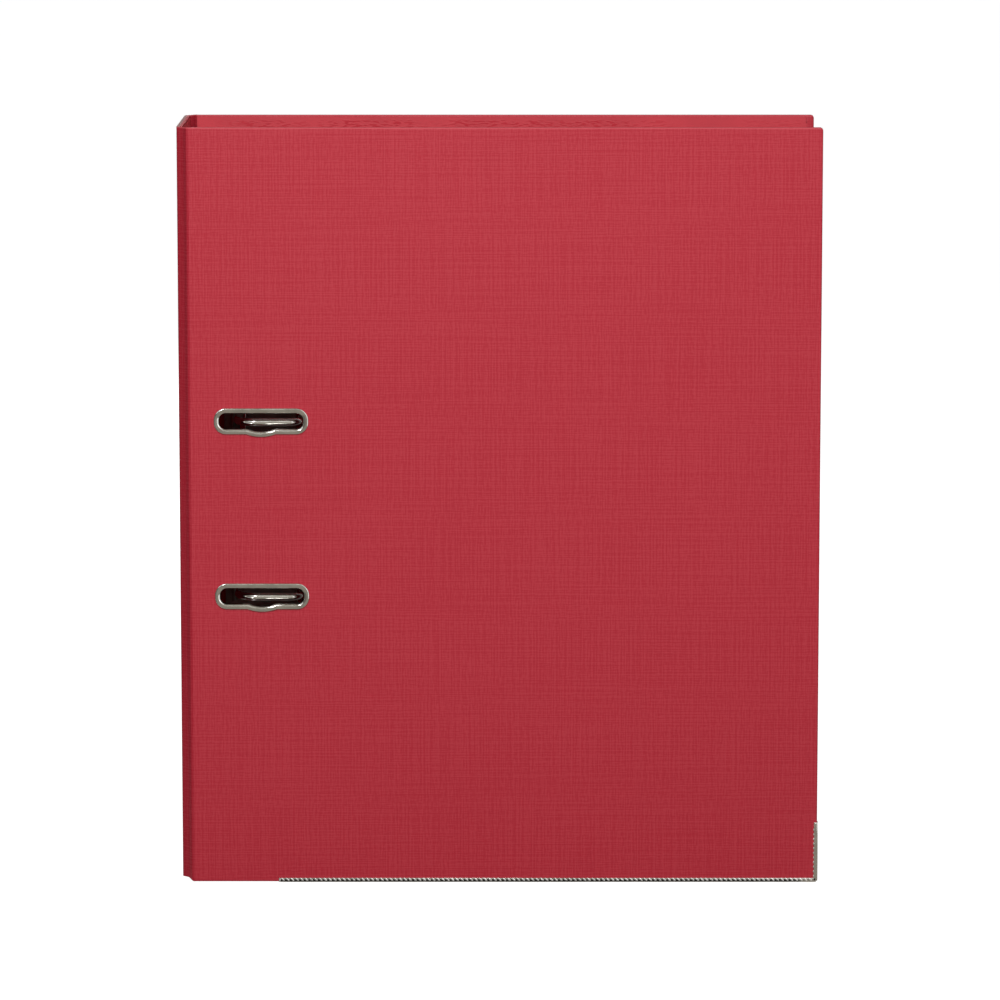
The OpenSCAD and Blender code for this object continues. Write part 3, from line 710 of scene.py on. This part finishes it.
class LEVERFILE_OT_add_covers(bpy.types.Operator):
    """Wrap the embossed covering round the two cover boards"""

    bl_idname = "leverfile.add_covers"
    bl_label = "Add Covers"

    def execute(self, context):
        case, metal = context.scene.lever_case, context.scene.lever_metal
        for side, turn, body, material in (("front", FRONT_TURN, "front_cover", front_linen()),
                                           ("back", BACK_TURN, "back_cover", back_linen())):
            node = side + "_covering"
            lo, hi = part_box(node)
            width, height, thick = hi.x - lo.x, hi.z - lo.z, hi.y - lo.y
            face_y = lo.y if side == "front" else hi.y
            origin = Vector(((lo.x + hi.x) / 2, face_y, (lo.z + hi.z) / 2))
            hand = 1.0 if side == "front" else -1.0
            openings = []
            if side == "front":
                for eyelet in EYELETS:
                    spot = slot_centre(eyelet) - origin
                    openings.append(lambda bm, at=(spot.x, spot.z, 0.0):
                                    slot_outline(bm, metal, OPENING_ROOM, at))
            bm = panel_shell(width, height, thick, lambda co: hand * co.x > 0,
                             lambda co: hand * co.x < TINY - width / 2, case, openings)
            place_bm(bm, turn, origin)
            seat(finish_piece(side + "_cover_linen", bm, material), body, "covering", node)
        return {"FINISHED"}


def slot_centre(eyelet):
    """Middle of an arch slot on the outer face of the front cover."""
    metal = bpy.context.scene.lever_metal
    lo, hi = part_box(eyelet)
    face_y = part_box("front_covering")[0].y
    return Vector(((lo.x + hi.x) / 2, face_y, hi.z - metal.slot_width / 2 - EYELET_REACH))


class LEVERFILE_OT_add_spine(bpy.types.Operator):
    """Wrap the embossed covering round the spine board"""

    bl_idname = "leverfile.add_spine"
    bl_label = "Add Spine"

    def execute(self, context):
        case, metal = context.scene.lever_case, context.scene.lever_metal
        lo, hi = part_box("spine_covering")
        ring_lo, ring_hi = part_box("finger_ring")
        width, height, thick = hi.y - lo.y, hi.z - lo.z, hi.x - lo.x
        origin = Vector((lo.x, (lo.y + hi.y) / 2, (lo.z + hi.z) / 2))
        middle = (ring_lo + ring_hi) / 2
        hole = (origin.y - middle.y, middle.z - origin.z, 0.0)

        def finger_hole(bm):
            verts = bmesh.ops.create_circle(bm, cap_ends=True, segments=64,
                                            radius=metal.finger_radius + OPENING_ROOM)["verts"]
            bmesh.ops.translate(bm, vec=hole, verts=verts)
            return verts[0].link_faces[0]

        bm = panel_shell(width, height, thick, lambda co: False,
                         lambda co: abs(co.x) > width / 2 - TINY, case, [finger_hole])
        place_bm(bm, SPINE_TURN, origin)
        seat(finish_piece("spine_linen", bm, spine_linen()), "spine", "covering", "spine_covering")
        return {"FINISHED"}


# Plan of a hinge in millimetres: distance from the spine face, depth behind the cover face
COVER_ROLL = ((1.55, 3.45), (2.0, 3.05), (2.5, 2.62), (3.0, 2.15), (3.5, 1.55), (3.95, 0.9),
              (4.3, 0.42), (4.65, 0.1), (5.0, 0.0), (5.6, 0.0))
SPINE_ROLL = ((0.0, 5.6), (0.02, 5.35), (0.1, 5.0), (0.3, 4.6), (0.6, 4.25), (0.95, 3.93),
              (1.25, 3.69), (1.55, 3.45))
HINGE_REACH = 5.6 * MM
# The foot of the hinge covering rises from the cover's foot to the spine's over this width
FOOT_SWEEP, FOOT_LIFT = 3.2 * MM, 0.1 * MM


class LEVERFILE_OT_add_hinges(bpy.types.Operator):
    """Roll the covering from each cover over its groove to the spine"""

    bl_idname = "leverfile.add_hinges"
    bl_label = "Add Hinges"

    def execute(self, context):
        case = context.scene.lever_case
        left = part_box("spine_covering")[0].x
        for side, sign in (("front", -1.0), ("back", 1.0)):
            lo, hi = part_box(side + "_covering")
            foot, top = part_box("spine_covering")[0].z, hi.z
            face_y = lo.y if side == "front" else hi.y
            for part, plan, other in (("groove", COVER_ROLL, side + "_cover"),
                                      ("roll", SPINE_ROLL, "spine")):
                points = [(left + x * MM, face_y - sign * y * MM) for x, y in smooth_line(plan, 4)]
                bm = extruded_profile(points, lo.z, top)
                for v in bm.verts:
                    out = min(1.0, max(0.0, (left + HINGE_REACH - v.co.x) / FOOT_SWEEP))
                    ease = out * out * (3 - 2 * out)
                    lift = FOOT_LIFT + (foot - lo.z - FOOT_LIFT) * ease
                    v.co.z += lift * (top - v.co.z) / (top - lo.z)
                thicken(bm, case.strip, Vector((-1.0, sign, 0.0)))
                piece = finish_piece(side + "_hinge_" + part, bm, shaded_fold_linen(side), 50.0)
                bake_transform(piece)
                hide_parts(side + "_hinge_strip")
        return {"FINISHED"}


# Section of an eyelet's rim from the slot outwards, as shares of its width and height
EYELET_DOME = ((0.0, 0.15), (0.02, 0.36), (0.08, 0.56), (0.18, 0.75), (0.30, 0.88), (0.42, 0.96),
               (0.55, 1.0), (0.72, 0.99), (0.86, 0.93), (0.95, 0.76), (0.99, 0.48), (1.0, 0.12),
               (0.985, 0.01))
# Section of its clinched inner end in millimetres, out from the slot and up from the end
EYELET_CLINCH = ((1.5, 0.45), (1.45, 0.12), (1.1, 0.0), (0.35, 0.0), (0.08, 0.12), (0.0, 0.45))
# Depth in the slot at which its rim begins
EYELET_THROAT = 1.2 * MM
# Wall of the eyelets and of the finger ring, and the gap under their rims
TUBE_WALL, RIM_GAP = 0.42 * MM, 0.01 * MM


class LEVERFILE_OT_add_eyelets(bpy.types.Operator):
    """Press the domed eyelets into the arch slots"""

    bl_idname = "leverfile.add_eyelets"
    bl_label = "Add Slot Eyelets"

    def execute(self, context):
        metal = context.scene.lever_metal
        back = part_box("upper_slot_eyelet")[1].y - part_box("front_covering")[0].y
        wide, tall = metal.rim_width, metal.rim_height
        section = [(x * MM, y * MM - back) for x, y in EYELET_CLINCH] + [(0.0, -EYELET_THROAT)]
        section += [(x * wide, y * tall) for x, y in EYELET_DOME]
        section += [(TUBE_WALL, RIM_GAP), (TUBE_WALL, 0.5 * MM - back)]
        for node in EYELETS:
            bm = bmesh.new()
            face = slot_outline(bm, metal, 0.0, (0, 0, 0))
            sweep_section(bm, face, section)
            place_bm(bm, FRONT_TURN, slot_centre(node))
            piece = finish_piece(node.replace("slot_eyelet", "eyelet_rim"), bm, nickel(), 50.0)
            seat(piece, "front_cover", "nickel", node)
        return {"FINISHED"}


# Section of the finger ring's rim from the hole outwards, as shares of its width and height
RING_DOME = ((0.0, -0.1), (0.01, 0.45), (0.07, 0.78), (0.2, 0.97), (0.38, 1.0), (0.58, 0.92),
             (0.78, 0.66), (0.93, 0.3), (1.0, 0.04), (0.99, 0.01))
# How far its tube stops short, the room from the hole to the washer, and the washer's soft edge
RING_SHORT, WASHER_ROOM, WASHER_EDGE = 0.02 * MM, 0.46 * MM, 0.2 * MM


class LEVERFILE_OT_add_finger_ring(bpy.types.Operator):
    """Spin the finger ring and its washer into the spine"""

    bl_idname = "leverfile.add_finger_ring"
    bl_label = "Add Finger Ring"

    def execute(self, context):
        metal = context.scene.lever_metal
        lo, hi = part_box("finger_ring")
        washer_lo, washer_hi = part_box("finger_ring_washer")
        centre = Vector((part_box("spine_covering")[0].x, (lo.y + hi.y) / 2, (lo.z + hi.z) / 2))
        bore, rim, tall = metal.finger_radius, metal.finger_rim, centre.x - lo.x
        depth = hi.x - centre.x - RING_SHORT
        ring = [(bore + x * rim, -y * tall) for x, y in RING_DOME]
        ring += [(bore + TUBE_WALL, -RIM_GAP), (bore + TUBE_WALL, depth), (bore, depth)]
        inner, outer = bore + WASHER_ROOM, (washer_hi.y - washer_lo.y) / 2
        near, far = washer_lo.x - centre.x, washer_hi.x - centre.x
        edge = WASHER_EDGE
        washer = [(inner, near), (outer, near), (outer, far - edge), (outer - edge, far),
                  (inner + edge, far), (inner, far - edge)]
        for name, section, node in (("finger_ring_rim", ring, "finger_ring"),
                                    ("finger_ring_plate", washer, "finger_ring_washer")):
            bm = bmesh.new()
            verts = [bm.verts.new((centre.x + x, centre.y, centre.z + r)) for r, x in section]
            edges = [bm.edges.new((verts[i - 1], verts[i])) for i in range(len(verts))]
            bmesh.ops.spin(bm, geom=verts + edges, cent=centre, axis=(1, 0, 0),
                           angle=2 * math.pi, steps=72, use_merge=True)
            bmesh.ops.remove_doubles(bm, verts=bm.verts, dist=TINY)
            bmesh.ops.recalc_face_normals(bm, faces=bm.faces)
            seat(finish_piece(name, bm, nickel(), 50.0), "spine", "nickel", node)
        return {"FINISHED"}


# Half sizes of the beads pressed into the guards, along, out and up, and how deep they sit
TOOTH_BEAD = (1.3 * MM, 0.42 * MM, 0.56 * MM)
FOOT_END_BEAD = (0.55 * MM, 0.42 * MM, 1.1 * MM)
SIDE_END_BEAD = (0.95 * MM, 0.42 * MM, 0.45 * MM)
BEAD_SEAT = 0.30 * MM
# Slant of the teeth in degrees and their size, along the foot and up the fore-edge
FOOT_TEETH, SIDE_TEETH = (34, 1.0), (100, 0.5)
# Height of the teeth along the foot, and of the lowest tooth of the fore-edge
FOOT_TOOTH_Z, SIDE_TOOTH_Z = 1.35 * MM, 3 * MM
# Bend of a guard round the corner, the gap of its legs there, the rounding and inset of its sheet
GUARD_BEND, GUARD_GAP = 1.85 * MM, 0.8 * MM
GUARD_ROUND, GUARD_INSET = 0.2 * MM, 0.1 * MM


def bead(bm, spot, size, slant=0.0):
    """A domed bead at a spot, turned about the way through the cover."""
    shape = Matrix.Rotation(math.radians(slant), 4, "Y") @ Matrix.Diagonal(size).to_4x4()
    bmesh.ops.create_uvsphere(bm, u_segments=10, v_segments=6, radius=1.0,
                              matrix=Matrix.Translation(spot) @ shape)


class LEVERFILE_OT_add_edge_guards(bpy.types.Operator):
    """Fold the toothed guards over the foot and lower fore-edge of the covers"""

    bl_idname = "leverfile.add_edge_guards"
    bl_label = "Add Edge Guards"

    def execute(self, context):
        metal = context.scene.lever_metal
        pitch = metal.tooth_pitch
        for side, body in (("front", "front_cover"), ("back", "back_cover")):
            node = side + "_edge_guard"
            lo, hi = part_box(node)
            sheet = self.channel(lo, hi, metal)
            channel = finish_piece(side + "_guard_channel", sheet, nickel(), 40.0)
            seat(channel, body, "nickel", node)
            foot = Vector((lo.x + 0.95 * pitch, 0, lo.z + FOOT_TOOTH_Z))
            edge = Vector((hi.x - metal.side_leg, 0, lo.z + SIDE_TOOTH_Z))
            for run, start, along, form in (("foot", foot, Vector((1, 0, 0)), FOOT_TEETH),
                                            ("side", edge, Vector((0, 0, 1)), SIDE_TEETH)):
                space = (hi - start).dot(along) - 0.7 * pitch
                teeth = self.teeth(start, lo.y, hi.y, *form)
                row = finish_piece(side + "_guard_teeth_" + run, teeth, rubbed_nickel(), 40.0)
                repeat = row.modifiers.new("teeth", "ARRAY")
                repeat.use_relative_offset, repeat.use_constant_offset = False, True
                repeat.constant_offset_displace = along * pitch
                repeat.count = int(space / pitch) + 1
                seat(row, body, "nickel", node)
            ends = finish_piece(side + "_guard_ends", self.ends(lo, hi), rubbed_nickel(), 40.0)
            seat(ends, body, "nickel", node)
        return {"FINISHED"}

    def ends(self, lo, hi):
        """Beads pressed across the two ends of a guard, on both legs."""
        bm = bmesh.new()
        for y in (lo.y + BEAD_SEAT, hi.y - BEAD_SEAT):
            bead(bm, (lo.x + FOOT_END_BEAD[0], y, lo.z + FOOT_END_BEAD[2]), FOOT_END_BEAD)
            bead(bm, (hi.x - SIDE_END_BEAD[0], y, hi.z - SIDE_END_BEAD[2]), SIDE_END_BEAD)
        return bm

    def channel(self, lo, hi, metal):
        """Sheet folded round the foot and up the fore-edge, its legs ending short of the corner."""
        bm = bmesh.new()
        sheet = metal.guard_sheet
        runs = (((lo.x, lo.z), (hi.x - GUARD_GAP, lo.z), (0, 1), metal.guard_leg),
                ((hi.x, lo.z + GUARD_GAP), (hi.x, hi.z), (-1, 0), metal.side_leg))
        for (x0, z0), (x1, z1), (ix, iz), leg in runs:
            for y, inner in ((lo.y, 1.0), (hi.y, -1.0)):
                box = bmesh.ops.create_cube(bm, size=1.0)["verts"]
                span = Vector((x1 - x0 + leg * abs(ix), sheet, z1 - z0 + leg * abs(iz)))
                middle = Vector(((x0 + x1 + ix * leg) / 2, y + inner * sheet / 2,
                                 (z0 + z1 + iz * leg) / 2))
                bmesh.ops.scale(bm, vec=span, verts=box)
                bmesh.ops.translate(bm, vec=middle, verts=box)
                edges = [e for e in dict.fromkeys(e for v in box for e in v.link_edges)
                         if all(abs(v.co.y - y) < TINY for v in e.verts)]
                bmesh.ops.bevel(bm, geom=edges, offset=GUARD_ROUND, offset_type="OFFSET",
                                segments=3, profile=0.5, affect="EDGES", clamp_overlap=True,
                                material=-1)
        bend = GUARD_BEND
        path = [(lo.x, lo.z)]
        path += [(hi.x - bend + bend * math.sin(a), lo.z + bend - bend * math.cos(a))
                 for a in (math.radians(15 * k) for k in range(7))]
        path += [(hi.x, hi.z)]
        made = strip(bm, [(x, lo.y + GUARD_INSET, z) for x, z in path],
                     (0, hi.y - lo.y - 2 * GUARD_INSET, 0))
        band = [g for g in made if isinstance(g, bmesh.types.BMFace)]
        bmesh.ops.recalc_face_normals(bm, faces=band)
        if band[0].normal.z > 0:
            bmesh.ops.reverse_faces(bm, faces=band)
        bmesh.ops.solidify(bm, geom=band, thickness=sheet)
        bmesh.ops.recalc_face_normals(bm, faces=bm.faces)
        return bm

    def teeth(self, start, front_y, back_y, turn, grow):
        """The first slanted tooth of a row, on both legs."""
        bm = bmesh.new()
        along, out, up = TOOTH_BEAD
        for y in (front_y + BEAD_SEAT, back_y - BEAD_SEAT):
            bead(bm, (start.x, y, start.z), (along * grow, out, up * grow), turn)
        return bm


class LEVERFILE_OT_add_mechanism(bpy.types.Operator):
    """Round the pressed edges of the ring mechanism"""

    bl_idname = "leverfile.add_mechanism"
    bl_label = "Add Mechanism"

    def execute(self, context):
        finish = context.scene.lever_finish
        edge = context.scene.lever_metal.soft_edge
        catch = plastic_material("catch_plastic", finish.catch, 0.42)
        for node, name, body, slot, material in (
                ("base_plate", "mechanism_plate", "back_cover", "nickel", satin_plate()),
                ("lever_arm", "lever_handle", "lever", "nickel", nickel()),
                ("compressor_bar", "compressor_rail", "compressor", "nickel", nickel()),
                ("compressor_catch", "compressor_thumb", "catch", "catch", catch)):
            piece = finish_piece(name, softened_copy(node, edge), material, 50.0)
            piece.modifiers.new("level_faces", "WEIGHTED_NORMAL").keep_sharp = True
            seat(piece, body, slot, node)
        return {"FINISHED"}


class LEVERFILE_OT_add_linings(bpy.types.Operator):
    """Paste the lining papers up to the head of the boards"""

    bl_idname = "leverfile.add_linings"
    bl_label = "Add Linings"

    def execute(self, context):
        rise = context.scene.lever_case.lining_rise
        for side, body in (("front", "front_cover"), ("back", "back_cover"), ("spine", "spine")):
            node = side + "_lining"
            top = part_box(node)[1].z - 0.01 * MM
            bm = merged_copy(node)
            head = [v for v in bm.verts if v.co.z > top]
            bmesh.ops.translate(bm, vec=(0, 0, rise), verts=head)
            paper = finish_piece(side + "_lining_paper", bm, lining_material(), 0.0)
            seat(paper, body, "lining", node)
        return {"FINISHED"}


class LEVERFILE_OT_finish_nodes(bpy.types.Operator):
    """Give the carried-over solids their finishes"""

    bl_idname = "leverfile.finish_nodes"
    bl_label = "Finish Solids"

    def execute(self, context):
        finish = context.scene.lever_finish
        spring = metal_material("spring_steel", finish.spring, 0.28, 0.42)
        roller = plastic_material("roller_plastic", finish.roller, 0.45)
        for material, nodes in (
                (board_material(), ("front_board", "back_board", "spine_board")),
                (bright_wire(), ("arch_bow", "fixed_posts")),
                (nickel(), ("mechanism_rivets", "lever_pivot_pin", "roller_pin", "catch_pin")),
                (spring, ("bow_leaf_spring",)),
                (roller, ("cam_roller",))):
            for node in nodes:
                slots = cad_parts[node].data.materials
                slots.clear()
                slots.append(material)
        return {"FINISHED"}


# Softboxes in metres: place, target, width and height
SOFTBOXES = {"key": ((-0.09, -1.04, 0.8), (-0.02, 0.0, 0.25), (0.85, 0.6)),
             "fill": ((1.5, -1.2, 0.8), (0.0, 0.0, 0.17), (0.7, 1.0)),
             "back": ((-0.9, 1.5, 0.6), (0.0, 0.0, 0.17), (1.0, 0.8))}
FLOOR_SIZE, FLOOR_PAINT = 30.0, (0.34, 0.34, 0.34, 1.0)
# Cards in metres: half widths before, beside and behind the file, reach, heights and overhang
BEFORE, BESIDE, BEHIND = 0.3, 0.6, 1.0
CARD_REACH, CARD_TOP, SIDE_TOP, OVERHANG = 0.8, 1.1, 0.45, 0.3
# Hood inside the file, a dark card that stands for painted shade inside it in reflections, as a
# share of its depth, and how far it stands past head and fore-edge
HOOD_DEPTH, HOOD_PAST = 0.9, 15 * MM
PALE_CARD = (0.34, 0.315, 0.27, 1.0)
DARK_CARD = (0.03, 0.028, 0.026, 1.0)
HOOD_SHADE_CARD = (0.09, 0.085, 0.08, 1.0)
SIDE_CARD = (0.20, 0.185, 0.165, 1.0)
# Places in metres between which one tone of a card gives way to the next
DARK_END, DARK_SIDE, DARK_ROOF = (0.142, 0.136), (0.058, 0.049), (0.5, 0.6)
HOOD_SIDE, SIDE_END = (0.038, 0.036), (-0.30, -0.31)


class LEVERFILE_OT_set_stage(bpy.types.Operator):
    """Set up the floor, the softboxes and the camera"""

    bl_idname = "leverfile.set_stage"
    bl_label = "Set Stage"

    def execute(self, context):
        scene, stage = context.scene, context.scene.lever_stage
        scene.view_settings.view_transform = "Standard"
        self.floor(stage)
        self.room(scene, stage)
        for name, (spot, target, size) in SOFTBOXES.items():
            self.softbox(name + "_softbox", spot, target, size, getattr(stage, name))
        self.flag()
        self.camera(scene, stage)
        return {"FINISHED"}

    def in_view(self, tree):
        """One where a ray comes from the camera, a reflection or a clear surface."""
        path = add_node(tree, "ShaderNodeLightPath").outputs
        seen = calc(tree, "MAXIMUM", path["Is Camera Ray"], path["Is Glossy Ray"])
        return calc(tree, "MAXIMUM", seen, path["Is Transmission Ray"])

    def bare_material(self, name):
        """A material without nodes, and its tree."""
        made = bpy.data.materials.new(name)
        made.use_nodes = True
        made.node_tree.nodes.clear()
        return made, made.node_tree

    def floor(self, stage):
        """Pale floor that is white in view and keeps its shadows."""
        bm = bmesh.new()
        bmesh.ops.create_grid(bm, x_segments=1, y_segments=1, size=FLOOR_SIZE)
        bmesh.ops.translate(bm, vec=(0, 0, CAD_BOX[0].z), verts=bm.verts)
        made, tree = self.bare_material("studio_white")
        paint = add_node(tree, "ShaderNodeBsdfDiffuse", {"Color": FLOOR_PAINT})
        glow = add_node(tree, "ShaderNodeEmission",
                        {"Strength": calc(tree, "MULTIPLY", self.in_view(tree), stage.floor_glow)})
        both = add_node(tree, "ShaderNodeAddShader", {0: paint.outputs[0], 1: glow.outputs[0]})
        add_node(tree, "ShaderNodeOutputMaterial", {"Surface": both.outputs[0]})
        finish_piece("studio_floor", bm, made)

    def flag(self):
        """Cards round the file, seen in reflections only, that give the metal its contrast; near
        and inside the file they are dark as painted shadow and shade.
        """
        bm = bmesh.new()
        low, high = CAD_BOX
        foot = low.z + 0.1 * MM
        before = [(-BEFORE, low.y, foot), (-BEFORE, -CARD_REACH, foot),
                  (-BEFORE, -CARD_REACH, CARD_TOP), (-BEFORE, OVERHANG, CARD_TOP)]
        behind = [(-BEHIND, high.y, foot), (-BEHIND, CARD_REACH, foot),
                  (-BEHIND, CARD_REACH, CARD_TOP)]
        beside = [(-BEFORE, -CARD_REACH, foot), (-BESIDE, -CARD_REACH, foot),
                  (-BESIDE, OVERHANG, foot)]
        under = [(-BESIDE, low.y, foot), (-BESIDE, -CARD_REACH, foot)]
        inside = HOOD_DEPTH * low.y
        past, head = high.x + HOOD_PAST, high.z + HOOD_PAST
        hood = [(low.x, inside, head), (past, inside, head), (past, inside, foot),
                (low.x + HOOD_PAST, inside, foot)]
        for line, span in ((before, (2 * BEFORE, 0, 0)), (behind, (2 * BEHIND, 0, 0)),
                           (beside, (0, 0, SIDE_TOP)), (under, (BESIDE - BEFORE, 0, 0)),
                           (hood, (0, -2 * inside, 0))):
            strip(bm, line, span)
        made, tree = self.bare_material("studio_flag")
        spot = add_node(tree, "ShaderNodeSeparateXYZ", {0: object_coordinate(tree)}).outputs
        aside = calc(tree, "ABSOLUTE", spot["Y"])
        # Painted shadow: the cards turn dark on the floor round the file, as its shadow in
        # reflections
        near = calc(tree, "MULTIPLY", ramp(tree, spot["X"], *DARK_END),
                    ramp(tree, aside, *DARK_SIDE))
        roof = calc(tree, "MULTIPLY", ramp(tree, spot["Z"], *DARK_ROOF),
                    ramp(tree, spot["Y"], -DARK_SIDE[0], -DARK_SIDE[1]))
        tone = mixed(tree, calc(tree, "MAXIMUM", near, roof), PALE_CARD, DARK_CARD)
        # Painted shade: the hood inside the file is dark, seen in reflections
        tone = mixed(tree, ramp(tree, aside, *HOOD_SIDE), tone, HOOD_SHADE_CARD)
        tone = mixed(tree, ramp(tree, spot["X"], *SIDE_END), tone, SIDE_CARD)
        card = add_node(tree, "ShaderNodeEmission", {"Color": tone, "Strength": 1.0})
        add_node(tree, "ShaderNodeOutputMaterial", {"Surface": card.outputs[0]})
        piece = finish_piece("studio_flag", bm, made)
        piece.visible_camera = piece.visible_diffuse = False
        piece.visible_shadow = piece.visible_transmission = False

    def room(self, scene, stage):
        """Soft light from all round, white in view."""
        scene.world = bpy.data.worlds.new("studio_room")
        scene.world.use_nodes = True
        tree = scene.world.node_tree
        light = tree.nodes["Background"]
        light.inputs["Color"].default_value = (1.0, 1.0, 1.0, 1.0)
        level = ramp(tree, self.in_view(tree), 0.0, 1.0, stage.ambient, 1.0)
        tree.links.new(level, light.inputs["Strength"])

    def softbox(self, name, spot, target, size, power):
        """An area lamp at a spot, turned to its target."""
        lamp = bpy.data.lights.new(name, "AREA")
        lamp.shape = "RECTANGLE"
        lamp.size, lamp.size_y = size
        lamp.energy = power
        made = bpy.data.objects.new(name, lamp)
        made.location = spot
        made.rotation_euler = (Vector(target) - Vector(spot)).to_track_quat("-Z", "Y").to_euler()
        bpy.context.scene.collection.objects.link(made)

    def camera(self, scene, stage):
        """The camera before the front cover, a little above it."""
        lens = bpy.data.cameras.new("front_view")
        made = bpy.data.objects.new("front_view", lens)
        scene.collection.objects.link(made)
        face_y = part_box("front_covering")[0].y
        aim = Vector((stage.aim[0], face_y, stage.aim[1]))
        back = Vector((0.0, -math.cos(stage.rise), math.sin(stage.rise)))
        made.location = aim + back * stage.distance
        made.rotation_euler = (-back).to_track_quat("-Z", "Y").to_euler()
        lens.sensor_width = 36.0
        lens.lens = lens.sensor_width * stage.distance / stage.view_width
        lens.clip_end = 100.0
        scene.camera = made


class LEVERFILE_PT_sidebar(bpy.types.Panel):
    """Sizes, finishes and steps of the lever arch file"""

    bl_idname = "LEVERFILE_PT_sidebar"
    bl_label = "Lever Arch File"
    bl_space_type = "VIEW_3D"
    bl_region_type = "UI"
    bl_category = "Lever File"

    def draw(self, context):
        """List the settings and the steps."""
        for label in GROUPS:
            group = getattr(context.scene, label)
            box = self.layout.box()
            for name in group.__annotations__:
                box.prop(group, name)
        for step in STEPS:
            self.layout.operator(step.bl_idname)


GROUPS = {"lever_case": LeverFileCase, "lever_metal": LeverFileMetal,
          "lever_finish": LeverFileFinish, "lever_stage": LeverFileStage}
STEPS = (LEVERFILE_OT_add_covers, LEVERFILE_OT_add_spine, LEVERFILE_OT_add_hinges,
         LEVERFILE_OT_add_eyelets, LEVERFILE_OT_add_finger_ring, LEVERFILE_OT_add_edge_guards,
         LEVERFILE_OT_add_mechanism, LEVERFILE_OT_add_linings, LEVERFILE_OT_finish_nodes,
         LEVERFILE_OT_set_stage)
CLASSES = (*GROUPS.values(), *STEPS, LEVERFILE_PT_sidebar)


def register():
    """Make the classes and the settings known."""
    for cls in CLASSES:
        bpy.utils.register_class(cls)
    for label, group in GROUPS.items():
        setattr(bpy.types.Scene, label, PointerProperty(type=group))


def unregister():
    """Take the settings and the classes away again."""
    for label in GROUPS:
        delattr(bpy.types.Scene, label)
    for cls in reversed(CLASSES):
        bpy.utils.unregister_class(cls)


def main():
    """Build the file step by step."""
    register()
    bpy.ops.leverfile.add_covers()
    bpy.ops.leverfile.add_spine()
    bpy.ops.leverfile.add_hinges()
    bpy.ops.leverfile.add_eyelets()
    bpy.ops.leverfile.add_finger_ring()
    bpy.ops.leverfile.add_edge_guards()
    bpy.ops.leverfile.add_mechanism()
    bpy.ops.leverfile.add_linings()
    bpy.ops.leverfile.finish_nodes()
    bpy.ops.leverfile.set_stage()


if __name__ == "__main__":
    main()
